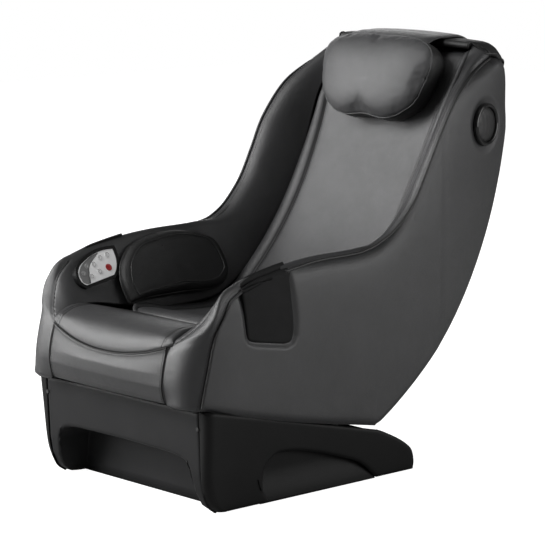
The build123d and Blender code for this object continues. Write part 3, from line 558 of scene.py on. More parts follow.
def plain_gloss(name, dark, light, rough):
    """Polished plastic with faint handling marks in its gloss."""
    material, nodes, link, shader = node_material(name)
    place = texture_place(nodes, link)
    marks = noise_texture(nodes, link, place, 45.0, 6.0, 0.7)
    link(colour_ramp(nodes, link, marks, [(0.35, dark), (0.7, light)]), shader.inputs["Base Color"])
    link(colour_ramp(nodes, link, marks, [(0.3, grey(rough)), (0.8, grey(rough + 0.12))]),
         shader.inputs["Roughness"])
    link(bump(nodes, link, marks, 0.05, 0.0002), shader.inputs["Normal"])
    return material


def perforated(name):
    """Black grille metal with round holes in rows, cut by the shader's bump and colour."""
    material, nodes, link, shader = node_material(name)
    place = texture_place(nodes, link)
    holes = nodes.new("ShaderNodeTexVoronoi")
    holes.inputs["Scale"].default_value = 330.0
    holes.inputs["Randomness"].default_value = 0.0
    link(place, holes.inputs["Vector"])
    link(colour_ramp(nodes, link, holes.outputs["Distance"], [(0.28, grey(0.003)), (0.42, grey(0.045))]),
         shader.inputs["Base Color"])
    link(bump(nodes, link, holes.outputs["Distance"], 0.6, 0.0012), shader.inputs["Normal"])
    shader.inputs["Metallic"].default_value = 0.6
    shader.inputs["Roughness"].default_value = 0.42
    return material


LEATHER = leather("leather_black", grey(0.024, 0.03), grey(0.034, 0.03), 0.40)
LEATHER_PAD = leather("leather_pad", grey(0.040, 0.03), grey(0.058, 0.03), 0.46)
LEATHER_DARK = leather("leather_dark", grey(0.003), grey(0.006), 0.55)
LEATHER_SHINE = leather("leather_shine", grey(0.0012), grey(0.0025), 0.32, wrinkle=0.25, coat=0.3)
PIPING = leather("leather_piping", grey(0.006), grey(0.011), 0.42, wrinkle=0.1)
THREAD = woven("thread_black", grey(0.012), grey(0.03), 0.6)
POCKET = woven("pocket_cloth", grey(0.004, 0.03), grey(0.008, 0.03), 0.62)
GRILLE = perforated("speaker_grille")
GLOSS_BLACK = plain_gloss("gloss_black", grey(0.006), grey(0.012), 0.10)
BASE_PLASTIC = moulded("base_plastic", grey(0.009, 0.05), grey(0.014, 0.05), 0.50)
BASE_DARK = moulded("base_plastic_dark", grey(0.0025), grey(0.0045), 0.55)
SILVER_FILM = plain_gloss("silver_film", grey(0.16), grey(0.21), 0.28)
AIRBAG = woven("airbag_cloth", grey(0.012), grey(0.020))
INK = plain_gloss("printed_ink", grey(0.05), grey(0.08), 0.45)
# Painted shade: near-black cloth for the cord in each pocket's slot, standing in for the shadow inside the
# pocket.
POCKET_SLOT_SHADE = woven("pocket_slot_painted_shade", grey(0.0015), grey(0.003), 0.9)

# ------------------------------------------------------------------ sides: panel, border roll and inner face

SIDE_ROWS = 190
STATION_ROWS = smooth_curve(STATIONS, SIDE_ROWS, 3)  # spaced evenly along the seam
SEAM_LINE = STATION_ROWS[:, :3]
INNER_LINE = STATION_ROWS[:, 3:6]
ARM_COLUMNS = np.concatenate([np.linspace(0, 0.06, 7), np.linspace(0.075, 1, 44)])
ROLL_TOP = 0.552  # height at which the seam of the front roll leaves the side seam
# Share of the skin's width that the front roll takes, by the seam's height
ROLL_KEYS = [(0.455, 1.0), (0.480, 0.76), (0.500, 0.61), (0.520, 0.48), (0.539, 0.40), (0.552, 0.32)]
# Section of an arm above its seam: (column, share of the width, share of the height)
ARM_SECTION = np.array([(0.0, 0.0, 0.0), (0.05, -0.020, 0.32), (0.10, -0.026, 0.60), (0.16, -0.016, 0.84),
                        (0.22, 0.018, 0.96), (0.30, 0.085, 0.95), (0.42, 0.205, 0.83), (0.60, 0.42, 0.60),
                        (0.80, 0.70, 0.31), (0.93, 0.90, 0.12), (1.0, 1.0, 0.0)])

# Pocket on the outside of each arm, seen from the side: (y, z)
POCKET_LEFT = [(-0.385, 0.4275), (-0.402, 0.4335), (-0.411, 0.447), (-0.418, 0.500), (-0.430, 0.568)]
POCKET_RIGHT = [(-0.285, 0.411), (-0.268, 0.4145), (-0.259, 0.428), (-0.2565, 0.468), (-0.2725, 0.588)]
POCKET_FRONT = -0.428
POCKET_REAR = -0.276


def roll_share():
    """Share of the arm skin's width taken by the front roll, for each row."""
    keys = np.array(ROLL_KEYS)
    return np.interp(SEAM_LINE[:, 2], keys[:, 0], keys[:, 1])


def arm_skin():
    """Outer skin of the left arm and wing from the side seam inwards: grid, front roll's seam, normals."""
    seam = SEAM_LINE[:, None]
    inner = INNER_LINE[:, None]
    t = ARM_COLUMNS[None, :, None]
    chord = INNER_LINE - SEAM_LINE
    width = np.linalg.norm(chord, axis=1)[:, None, None]
    normal = np.cross(unit(np.gradient(SEAM_LINE, axis=0)), chord)
    for _ in range(40):
        normal[1:-1] = (normal[:-2] + normal[1:-1] * 2 + normal[2:]) / 4
    normal = unit(normal)
    roll = roll_share()
    front = 1 - ramp(SEAM_LINE[:, 2], ROLL_TOP - 0.004, ROLL_TOP + 0.004)
    proud = STATION_ROWS[:, 6][:, None, None]
    arm_row = ramp(SEAM_LINE[:, 2], 0.430, 0.500) * (1 - ramp(SEAM_LINE[:, 1], -0.02, 0.10))
    arm_row = arm_row[:, None, None]
    section = smooth_curve(ARM_SECTION, 200)
    height = np.interp(ARM_COLUMNS, section[:, 0], section[:, 2])[None, :, None]
    along = np.interp(ARM_COLUMNS, section[:, 0], section[:, 1])[None, :, None]
    mouth = ramp(SEAM_LINE[:, 1], POCKET_FRONT + 0.006, POCKET_FRONT + 0.014)
    mouth = mouth * (1 - ramp(SEAM_LINE[:, 1], POCKET_REAR - 0.014, POCKET_REAR - 0.006))
    near_seam = (1 - ramp(t, 0.100, 0.135)) * ramp(t, 0.0, 0.03)
    hollow = mouth[:, None, None] * near_seam * np.array([0.005, 0, 0.013])
    round_power = 0.62 + 0.28 * (1 - ramp(SEAM_LINE[:, 2], 0.42, 0.52))[:, None, None]
    body = proud * (np.sin(np.pi * t ** round_power) * (1 - arm_row) + height * arm_row)
    width_share = t * (1 - arm_row) + along * arm_row
    share = roll[:, None, None]
    strength = front[:, None, None]
    bead = 0.003 * np.sin(np.pi * np.clip(t / share, 0, 1)) * strength * (share < 0.97)
    groove = -0.004 * gauss((t - share) * width, 0.0035) * strength * (share < 0.97)
    edge = -0.002 * gauss(t * width, 0.003)
    grid = seam + (inner - seam) * width_share + normal[:, None] * (body + bead + groove + edge) - hollow
    rows = np.nonzero((roll < 0.97) & (SEAM_LINE[:, 2] < ROLL_TOP))[0]
    border = [[np.interp(roll[row], ARM_COLUMNS, grid[row, :, k]) for k in range(3)] for row in rows]
    border = np.array(border) + normal[rows] * 0.0012
    return grid, border, normal


def hidden_skin(grid, depth):
    """The same grid pulled towards the middle of each row, for the back of a thick skin."""
    middle = (grid[:, :1] + grid[:, -1:]) / 2 - np.array([0, 0, 0.02])
    return grid + (middle - grid) * depth


def eased(count):
    """Spacing from 0 to 1 that is closer at both ends."""
    t = np.linspace(0, 1, count)
    return t * 0.2 + 0.8 * 0.5 * (1 - np.cos(np.pi * t))


def eased_curve(line, count):
    """Points of a smooth curve with that spacing."""
    even = smooth_curve(line, 400)
    return np.column_stack([np.interp(eased(count) * 399, np.arange(400), even[:, k]) for k in (0, 1)])


def side_panel_grid(rows=170, columns=230):
    """Outer face of the left side panel between the seam, the bottom edge and the rear cover."""
    corner = int(SIDE_ROWS * 0.215)  # the seam's row at the arm's front, where the left border ends
    bottom = [(-0.552, 0.277), (-0.52, 0.268), (-0.25, 0.2), (0.064, 0.136)]
    rear = [on_arc(REAR_R - 0.005, a) for a in np.linspace(30.5, 76.0, 14)]
    rear += [(0.5915, 0.945), (0.592, 1.00), (0.588, 1.035), (0.576, 1.060), (0.552, 1.075), (0.512, 1.074)]
    low = eased_curve(bottom, columns)
    high = eased_curve(SEAM_LINE[corner:, 1:], columns)
    left = eased_curve(SEAM_LINE[:corner + 1, 1:], rows)
    right = eased_curve(rear, rows)
    return coons(low, high, left, right, eased(columns), eased(rows))


def distance_to(line, points):
    """Distance in the side view from each point of a grid to a polyline."""
    flat = points.reshape(-1, 2)
    best = np.full(len(flat), 9.0)
    for a, b in zip(line, line[1:]):
        d = b - a
        t = np.clip(((flat - a) @ d) / (d @ d + 1e-12), 0, 1)[:, None]
        best = np.minimum(best, np.linalg.norm(flat - (a + t * d), axis=1))
    return best.reshape(points.shape[:2])


def inside_depth(outline, points):
    """How far inside a closed outline each point lies, in the side view; negative outside."""
    outline = np.array(outline)
    closed = np.vstack([outline, outline[:1]])
    edge = distance_to(closed, points)
    flat = points.reshape(-1, 2)
    inside = np.zeros(len(flat), bool)
    for (ay, az), (by, bz) in zip(closed, closed[1:]):
        crosses = (az > flat[:, 1]) != (bz > flat[:, 1])
        at = ay + (flat[:, 1] - az) / (bz - az + 1e-12) * (by - ay)
        inside ^= crosses & (flat[:, 0] < at)
    return np.where(inside.reshape(edge.shape), edge, -edge)


SPEAKER_AT = (0.3165, 0.467, 0.902)
SPEAKER_TURN = math.radians(12.5)
SPEAKER_N = np.array([math.cos(SPEAKER_TURN), math.sin(SPEAKER_TURN), 0])


def make_side_panels():
    """Padded leather side panels with the pocket's recess and the speaker's dimple pressed in."""
    flat = side_panel_grid()
    seam_gap = distance_to(SEAM_LINE[::2, 1:], flat)
    low_gap = distance_to(flat[0, ::4], flat)
    rear_gap = distance_to(flat[::4, -1], flat)
    nearest = np.argmin(np.abs(flat[..., 0][..., None] - SEAM_LINE[:, 1]) +
                        np.abs(flat[..., 1][..., None] - SEAM_LINE[:, 2]), axis=-1)
    x = plan_x(flat[..., 0])
    inset = plan_x(SEAM_LINE[nearest, 1]) - SEAM_LINE[nearest, 0] + 0.001
    broad = np.exp(-(seam_gap / 0.050) ** 1.6)
    tight = np.exp(-(seam_gap / 0.013) ** 1.3)
    x = x - inset * tight - 0.0065 * broad * (1 - tight)
    x = x - 0.008 * np.exp(-(low_gap / 0.008) ** 1.4)
    x = x - 0.019 * np.clip(1 - rear_gap / 0.024, 0, 1) ** 2.2
    pocket = inside_depth(POCKET_LEFT[::-1] + POCKET_RIGHT + [(-0.275, 0.62), (-0.432, 0.62)], flat)
    x = x - 0.0085 * ramp(pocket, -0.015, 0.001)
    speaker = np.hypot((flat[..., 0] - SPEAKER_AT[1]) / math.cos(SPEAKER_TURN), flat[..., 1] - SPEAKER_AT[2])
    x = x - 0.006 * (1 - ramp(speaker, 0.056, 0.078))
    outer = np.dstack([x, flat])
    inner = outer - np.array([0.020, 0, 0])
    for sign, name in SIDES:
        scale = mirrored(sign)
        panel = two_skins(f"side_panel_{name}", outer * scale, inner * scale, LEATHER)
        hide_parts(f"side_shell_{name}")
        hang([panel], "chair")


def make_arms():
    """Arms and wings in one skin on each side, with the border roll and its piping."""
    grid, border, normal = arm_skin()
    back = hidden_skin(grid, 0.35)
    seam = SEAM_LINE + normal * 0.0010 + np.array([0.0035, 0, 0])
    share = 0.0080 / np.linalg.norm(INNER_LINE - SEAM_LINE, axis=1)  # stitches lie 8 mm inside the seam
    inside = np.array([[np.interp(s, ARM_COLUMNS, grid[i, :, k]) for k in range(3)]
                       for i, s in enumerate(share)])
    covered = (SEAM_LINE[:, 1] > POCKET_FRONT) & (SEAM_LINE[:, 1] < POCKET_REAR)
    first, last = np.nonzero(covered)[0][[0, -1]]
    wing_end = grid[-1] + np.array([0, 0.001, 0.001])
    for sign, name in SIDES:
        scale = mirrored(sign)
        arm = two_skins(f"arm_and_wing_{name}", grid * scale, back * scale, LEATHER)
        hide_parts(f"arm_pad_{name}", f"wing_pad_{name}")
        pieces = [
            arm,
            tube(f"front_piping_{name}", seam[:first + 1] * scale, 0.0040, PIPING),
            tube(f"side_piping_{name}", seam[last:] * scale, 0.0040, PIPING),
            tube(f"roll_piping_{name}", border * scale, 0.0020, PIPING, 8),
            tube(f"wing_end_piping_{name}", wing_end * scale, 0.0022, PIPING, 8),
            stitches(f"front_stitches_{name}", inside[:first] * scale, THREAD),
            stitches(f"side_stitches_{name}", inside[last:] * scale, THREAD),
        ]
        hang(pieces, "chair")


# ------------------------------------------------------------------ back pad

def pad_border(z):
    """Half the width of the flat middle panel at a height: it widens near the top."""
    return 0.2015 + 0.016 * np.clip((z - 0.70) / 0.245, 0, 1.3) ** 1.5


def pad_radius(degrees):
    """Radius of the pad's front face about the back's centre: it falls back near the top."""
    return PAD_R + 0.0196 * max((degrees - 62) / 14.65, 0) ** 1.8


def pad_path(count=170):
    """Middle line of the pad's front, from under the seat lip to the top: (y, z)."""
    arc = [on_arc(pad_radius(a), a) for a in np.linspace(40, 76.5, 12)]
    points = [(-0.325, 0.408), (-0.334, 0.414), (-0.336, 0.425), (-0.326, 0.4335), (-0.300, 0.4335),
              (-0.250, 0.4255), (-0.190, 0.4125), (-0.065, 0.405), (0.0, 0.417)]
    points += arc + [(0.424, 1.002), (0.466, 1.068), (0.486, 1.084), (0.505, 1.088)]
    return smooth_curve(points, count)


def make_back_pad():
    """The long pad: flat middle panel, rolled borders, stitch lines and a rounded front lip."""
    path = pad_path()
    normal = path_normals(path)
    run = np.concatenate([[0], np.cumsum(np.linalg.norm(np.diff(path, axis=0), axis=1))])
    half = (PAD_HALF + 0.001) - 0.026 * (1 - ramp(run, 0.0, 0.30)) - 0.05 * gauss(run, 0.034)
    inner = np.linspace(-1, 1, 41) * 0.985
    edge = np.array([0.990, 0.996, 1.0])
    u = np.concatenate([-edge[::-1], inner, edge])
    share = pad_border(0.0) / PAD_HALF
    place = np.sort(np.concatenate([u, [-share - 0.012, -share, -share + 0.012,
                                        share - 0.012, share, share + 0.012]]))
    border_x = np.minimum(pad_border(path[:, 1]), half * 0.92)[:, None]
    line_x = half[:, None] * share
    x = half[:, None] * place[None]
    spread = np.where(np.abs(x) < line_x, border_x / line_x,
                      (half[:, None] - border_x) / (half[:, None] - line_x))
    x = np.where(np.abs(x) < line_x, x * spread,
                 np.sign(x) * (half[:, None] - (half[:, None] - np.abs(x)) * spread))
    beyond = (np.abs(x) - border_x) / (half[:, None] - border_x)
    roll = 0.010 * np.sqrt(np.clip(1 - (2 * np.clip(beyond, 0, 1) - 1) ** 2, 0, 1)) * (beyond > 0)
    groove = -0.0035 * gauss(np.abs(x) - border_x, 0.0035)
    drop = -0.022 * np.clip((np.abs(place) - 0.985) / 0.015, 0, 1)[None] ** 2
    crown = 0.003 * (1 - (x / half[:, None]) ** 2)
    rise = roll + groove + drop + crown
    depth = 0.040 - 0.012 * (1 - ramp(run, 0.1, 0.4))

    def surface(offset, squeeze):
        yz = path[:, None] + normal[:, None] * offset[..., None]
        return np.dstack([x * squeeze, yz])

    top = surface(rise, 1.0)
    low = surface(rise * 0 - depth[:, None], 0.985)
    pad = two_skins("back_pad_cover", top, low, LEATHER_PAD)
    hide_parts("back_pad")
    pieces = [pad]
    line = surface(np.full_like(x, -0.0010), 1.0)
    for sign, name in SIDES:
        at = int(np.argmin(np.abs(place - sign * share)))
        pieces.append(tube(f"pad_piping_{name}", line[6:, at], 0.0012, LEATHER_DARK, 8))
        beside = top[8:, at - 2 if sign > 0 else at + 2]
        pieces.append(stitches(f"pad_stitches_{name}", beside, THREAD))
    hang(pieces, "chair")


# ------------------------------------------------------------------ seat roll and apron

SEAM_HALF = 0.229  # the apron meets the arms here
STRIP_X = 0.203  # seams of the seat's narrow end strips


def u_line(x):
    """Stitched line between the seat roll and the apron: (y, z) at x."""
    across = np.minimum(np.abs(x), SEAM_HALF) / 0.22
    return -0.594 + 0.019 * across ** 2, 0.384 + 0.036 * across ** 2.2


def make_seat():
    """Seat cushion with a full front roll and narrow end strips."""
    x = np.concatenate([[-1, -0.995, -0.98], np.linspace(-0.96, 0.96, 61), [0.98, 0.995, 1]]) * SEAT_HALF
    rows = 46
    loops = []
    for xi in x:
        y_u, z_u = u_line(xi)
        end = abs(xi) / SEAT_HALF
        tuck = 0.014 * ramp(end, 0.965, 1.0)
        keys = [(-0.30, 0.392), (-0.31, 0.420 - tuck), (-0.36, 0.434 - tuck), (-0.42, 0.450 - tuck),
                (-0.475, 0.462 - tuck), (-0.520, 0.461 - tuck), (-0.556, 0.447 - tuck),
                (y_u + 0.012, (z_u + 0.447) / 2 + 0.006), (y_u + 0.002 + tuck * 0.5, z_u + 0.004),
                (y_u + 0.012, z_u - 0.004), (-0.545, 0.380)]
        top = smooth_curve(keys, rows)
        base = np.linspace(top[-1], top[0], 10)[1:-1]
        outline = np.vstack([top, base])
        loops.append(np.column_stack([np.full(len(outline), xi), outline]))
    loops = np.array(loops)
    for at in (-STRIP_X, STRIP_X):
        close = gauss(loops[:, :rows, 0] - at, 0.004)
        loops[:, :rows, 2] -= 0.0025 * close
    seat = loft("seat_roll", loops, LEATHER)
    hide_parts("seat_cushion")
    hang([seat], "chair")
    for sign, name in SIDES:
        row = int(np.argmin(np.abs(x - sign * (STRIP_X + 0.006))))
        thread_line = loops[row, 4:rows - 6] + np.array([0, 0, 0.0002])
        thread = stitches(f"seat_end_stitches_{name}", thread_line, THREAD)
        seam_row = int(np.argmin(np.abs(x - sign * STRIP_X)))
        cord = tube(f"seat_end_seam_{name}", loops[seam_row, 4:rows - 6], 0.0011, LEATHER_DARK, 8)
        hang([thread, cord], "chair")


def make_apron():
    """Padded skirt below the seat roll, bulging in the middle and at its sides."""
    rows = 34
    columns = 61
    half = SEAM_HALF + 0.002
    sides = np.array([(0.270, -0.570), (0.280, -0.577), (0.295, -0.584), (0.325, -0.590), (0.380, -0.5835),
                      (0.430, -0.570)])
    middle = np.array([(0.270, -0.574), (0.280, -0.583), (0.295, -0.592), (0.325, -0.601), (0.355, -0.6025),
                       (0.384, -0.594), (0.430, -0.585)])
    grid = np.zeros((rows, columns, 3))
    for j, x in enumerate(np.linspace(-half, half, columns)):
        y_top, z_top = u_line(x)
        share = (abs(x) / half) ** 2.5
        for i, v in enumerate(np.linspace(0, 1, rows)):
            z = z_top + (0.279 - z_top) * v
            y = np.interp(z, middle[:, 0], middle[:, 1]) * (1 - share)
            y += np.interp(z, sides[:, 0], sides[:, 1]) * share
            y += (y_top - y) * (1 - v) ** 6 + 0.006 * (v == 1)
            y += 0.004 * gauss(half - abs(x), 0.004)
            grid[i, j] = (x, y, z)
    inner = grid.copy()
    inner[..., 1] = -0.545
    apron = two_skins("apron_cover", grid, inner, LEATHER)
    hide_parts("front_apron")
    line_x = np.linspace(-0.227, 0.227, 90)
    line = np.array([(x, u_line(x)[0] - 0.0015, u_line(x)[1]) for x in line_x])
    cord = tube("apron_seam", line + np.array([0, 0.001, 0.001]), 0.0016, LEATHER_DARK, 8)
    thread = stitches("apron_stitches", line + np.array([0, -0.0012, -0.005]), THREAD)
    pieces = [apron, cord, thread]
    for sign, name in SIDES:
        edge = grid[:, -2 if sign > 0 else 1] + np.array([0, -0.0005, 0])
        beside = edge[2:-1] - np.array([sign * 0.007, 0.0005, 0])
        pieces.append(stitches(f"apron_end_stitches_{name}", beside, THREAD))
        pieces.append(tube(f"apron_end_seam_{name}", edge, 0.0014, LEATHER_DARK, 8))
    hang(pieces, "chair")


# ------------------------------------------------------------------ rear cover

def crest_path(lift=0.0, front=0.470, count=120):
    """Middle line of the rear cover, from its bottom edge up and over the top: (y, z)."""
    points = [on_arc(REAR_R + lift, a) for a in np.linspace(31, 74, 24)]
    radius = CREST_R + lift
    points.append((CREST[0] + radius, 0.5 * (points[-1][1] + CREST[1])))
    points += [(CREST[0] + radius * math.cos(a), CREST[1] + radius * math.sin(a))
               for a in np.linspace(0, math.pi / 2, 8)]
    points += [(0.5 * (CREST[0] + front), CREST[1] + radius), (front, CREST[1] + radius - 0.002)]
    return smooth_curve(points, count)


TOP_HALF = 0.288  # half the cover's width over the top


def make_rear_cover():
    """Padded cover of the back, curved across and turned over the top."""
    path = crest_path()
    path = np.vstack([path, [(0.461, 1.116), (0.458, 1.104)]])
    normal = -path_normals(path)
    over = ramp(path[:, 1], 1.03, 1.10)
    half = (plan_x(np.minimum(path[:, 0], 0.602)) - 0.012) * (1 - over)
    half += (TOP_HALF - 0.042 * ramp(-path[:, 0], -0.490, -0.482)) * over
    u = np.concatenate([-np.array([1, 0.995, 0.985, 0.97]), np.linspace(-0.95, 0.95, 51),
                        np.array([0.97, 0.985, 0.995, 1])])
    x = half[:, None] * u[None]
    across = np.abs(x) / TOP_HALF
    shoulder = np.clip((across - 0.8) / 0.2, 0, 1) ** 3
    drop = -(0.0092 * across ** 2 + 0.030 * shoulder) * over[:, None]
    drop = drop - 0.016 * (np.abs(u)[None] ** 12) * (1 - over[:, None])
    outer = np.dstack([x, path[:, None] + normal[:, None] * drop[..., None]])
    inner = np.dstack([x * 0.97, path[:, None] + normal[:, None] * (drop[..., None] * 0.6 - 0.022)])
    cover = two_skins("rear_cover_skin", outer, inner, LEATHER_DARK)
    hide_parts("rear_cover")
    pieces = [cover]
    for sign, name in SIDES:
        column = int(np.argmin(np.abs(u - sign * 0.995)))
        pieces.append(tube(f"rear_piping_{name}", outer[:, column], 0.0028, PIPING, 8))
    hang(pieces, "chair")


# ------------------------------------------------------------------ head pillow and its flap

PILLOW_TILT = math.radians(19)
PILLOW_UP = np.array([0, math.sin(PILLOW_TILT), math.cos(PILLOW_TILT)])
PILLOW_OUT = np.array([0, -math.cos(PILLOW_TILT), math.sin(PILLOW_TILT)])
PILLOW_AT = np.array([0.008, 0.344, 1.023])  # middle of the front seam's plane
PILLOW_HALF_WIDTH = (0.176, 0.230)  # at the bottom and at the top
PILLOW_HALF_HEIGHT = 0.122
PILLOW_POWER = 3.1  # how square the corners are: 2 gives an ellipse


def pillow_outline(count=112, grow=0.0, depth=0.0):
    """Rounded trapezoid around the pillow, at a depth behind its front seam."""
    low, high = PILLOW_HALF_WIDTH
    points = []
    for k in range(count):
        angle = 2 * math.pi * (k + 0.5) / count
        c, s = math.cos(angle), math.sin(angle)
        r = (abs(c) ** PILLOW_POWER + abs(s) ** PILLOW_POWER) ** (-1 / PILLOW_POWER)
        a, b = r * c, r * s
        wave = 0.004 * math.cos(a * 6.0) * ramp(-b, 0.5, 1.0)
        across = ((low + high) / 2 + (high - low) / 2 * b + grow) * a
        up = (PILLOW_HALF_HEIGHT + grow) * b + wave
        points.append(PILLOW_AT + np.array([across, 0, 0]) + PILLOW_UP * up - PILLOW_OUT * depth)
    return np.array(points)


def make_pillow():
    """Head pillow: crowned front, stitched edge, dark side band."""
    loops = []
    outline = pillow_outline()
    for share in np.linspace(0.04, 0.98, 22):
        flat = PILLOW_AT + (outline - PILLOW_AT) * share
        loops.append(flat + PILLOW_OUT * 0.036 * (1 - share ** 2.6))
    band = [(0.0, -0.003), (0.004, -0.003), (0.02, -0.002), (0.045, -0.003), (0.062, -0.007), (0.070, -0.013)]
    for depth, grow in band:
        loops.append(pillow_outline(grow=grow, depth=depth))
    rear = pillow_outline(grow=-0.010, depth=0.070)
    centre = rear.mean(0)
    for share in (0.85, 0.5, 0.2, 0.04):
        loops.append(centre + (rear - centre) * share - PILLOW_OUT * 0.003 * (1 - share))
    pillow = loft("pillow_body", loops, LEATHER_PAD)
    puff(pillow, 0.0055, 0.007, 3.5)
    pillow.data.materials.append(LEATHER_DARK)
    verts = vertex_array(pillow)
    behind = (verts - PILLOW_AT) @ PILLOW_OUT
    for face in pillow.data.polygons:
        if np.mean(behind[list(face.vertices)]) < -0.003:
            face.material_index = 1
    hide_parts("head_pillow")
    seam = laid_on(pillow, pillow_outline(180, 0.012, 0.001))
    cord = closed_tube("pillow_seam", seam, 0.0019, LEATHER_PAD)
    hang([pillow, cord], "head_pillow")


def laid_on(obj, points):
    """The points of an object's surface that are nearest to the given ones, for laying a seam on it."""
    tree = BVHTree.FromObject(obj, bpy.context.evaluated_depsgraph_get())
    return [tree.find_nearest(Vector(point))[0] for point in points]


def strap_strip(name, path, half):
    """A broad leather band along a (y, z) path, with soft rounded edges."""
    normal = -path_normals(path)[:, None]
    u = np.concatenate([[-1, -0.99], np.linspace(-0.97, 0.97, 31), [0.99, 1]])
    drop = -0.003 * np.abs(u) ** 20 - 0.004 * u ** 2
    outer = np.dstack([np.tile(half * u, (len(path), 1)), path[:, None] + normal * drop[None, :, None]])
    inner = outer.copy()
    inner[..., 1:] -= normal * 0.0045
    return two_skins(name, outer, inner, LEATHER)


def make_flap():
    """Flap over the top of the back; its front end runs down to the top of the pillow."""
    rear = crest_path(0.010, 0.466, 90)[34:]
    back = strap_strip("flap_rear", rear, 0.157)
    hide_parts("pillow_strap")
    hang([back], "chair")
    top = PILLOW_AT + PILLOW_UP * 0.112 - PILLOW_OUT * 0.026
    front = smooth_curve([(0.474, 1.1335), (0.455, 1.1335), (0.428, 1.129), (top[1], top[2])], 26)
    link_piece = strap_strip("flap_front", front, 0.1565)
    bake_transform(link_piece)


# ------------------------------------------------------------------ hip cushions

SLOPE = math.radians(30.3)
SLOPE_OUT = np.array([-math.cos(SLOPE), 0, math.sin(SLOPE)])
SLOPE_UP = np.array([math.sin(SLOPE), 0, math.cos(SLOPE)])
SLOPE_AT = np.array([0.280, 0, 0.535])


def slope_point(y, v, lift=0.0, side=1):
    """A point on an arm's sloping face: along the arm, up the slope, and lifted off it."""
    point = SLOPE_AT + np.array([0, y, 0]) + SLOPE_UP * v + SLOPE_OUT * lift
    return point * mirrored(side)


def hip_outline(inset=0.0):
    """D shape of a hip cushion on the sloping face, moved in by inset: (y, up the slope)."""
    keys = [(-0.332, -0.113), (-0.337, -0.061), (-0.326, -0.019), (-0.306, 0.013), (-0.268, 0.047),
            (-0.206, 0.069), (-0.132, 0.078), (-0.064, 0.071), (-0.017, 0.056), (0.021, 0.034),
            (0.036, -0.004), (0.038, -0.049), (0.026, -0.078), (-0.027, -0.104), (-0.157, -0.104),
            (-0.261, -0.106)]
    line = smooth_curve(keys + keys[:1], 121)[:-1]
    centre = np.array([-0.150, -0.020])
    reach = np.linalg.norm(line - centre, axis=1)[:, None]
    return centre + (line - centre) * np.maximum(reach - inset, 0.002) / reach


def hip_loop(inset, lift, side):
    """The cushion's outline moved in by inset and lifted off the arm."""
    return [slope_point(y, v, lift, side) for y, v in hip_outline(inset)]


HIP_FACE = 0.026  # the glossy face starts this far inside the cushion's outline


def make_hip_cushions():
    """Hip cushions: a rounded band around a flat glossy face, piped at both edges."""
    section = [(0.20, 0.0290), (0.12, 0.0290), (0.06, 0.0300), (0.030, 0.0315), (0.024, 0.0300),
               (0.018, 0.0345), (0.008, 0.0300), (0.002, 0.0200), (0.0, 0.0100), (0.003, 0.0035),
               (0.03, 0.0025), (0.20, 0.0025)]
    seams = [("outer", -0.004, 0.010, 0.0032), ("inner", HIP_FACE, 0.045, 0.0020)]
    for sign, name in SIDES:
        loops = [hip_loop(inset, lift, sign) for inset, lift in section]
        cushion = loft(f"hip_pad_{name}", loops, LEATHER_DARK)
        puff(cushion, 0.0045, 0.003, 2.0)
        cushion.data.materials.append(LEATHER_SHINE)
        outline = hip_outline(HIP_FACE)
        verts = vertex_array(cushion) * mirrored(sign) - SLOPE_AT
        placed = np.column_stack([verts[:, 1], verts @ SLOPE_UP])
        lifted = verts @ SLOPE_OUT
        deep = inside_depth(outline, placed[None])[0]
        for face in cushion.data.polygons:
            members = list(face.vertices)
            if deep[members].min() > 0 and lifted[members].min() > 0.018:
                face.material_index = 1
        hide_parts(f"hip_cushion_{name}")
        pieces = [cushion]
        for label, inset, lift, radius in seams:
            seam = laid_on(cushion, hip_loop(inset, lift, sign))
            pieces.append(closed_tube(f"hip_piping_{label}_{name}", seam, radius, PIPING))
        hang(pieces, f"hip_cushion_{name}")


def make_hip_airbags():
    """Flat airbags between the hip cushions and the arms."""
    section = [(0.19, 0.0022), (0.06, 0.0026), (0.022, 0.0020), (0.016, 0.0000), (0.022, -0.0020),
               (0.19, -0.0025)]
    for sign, name in SIDES:
        loops = [hip_loop(inset, lift, sign) for inset, lift in section]
        airbag = loft(f"hip_airbag_{name}", loops, AIRBAG)
        if sign > 0:
            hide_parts("hip_airbags")
        hang([airbag], "chair")


# ------------------------------------------------------------------ pockets, speakers

def seam_at(y):
    """x and z of the side seam at y."""
    return [np.interp(y, SEAM_LINE[:, 1], SEAM_LINE[:, k]) for k in (0, 2)]


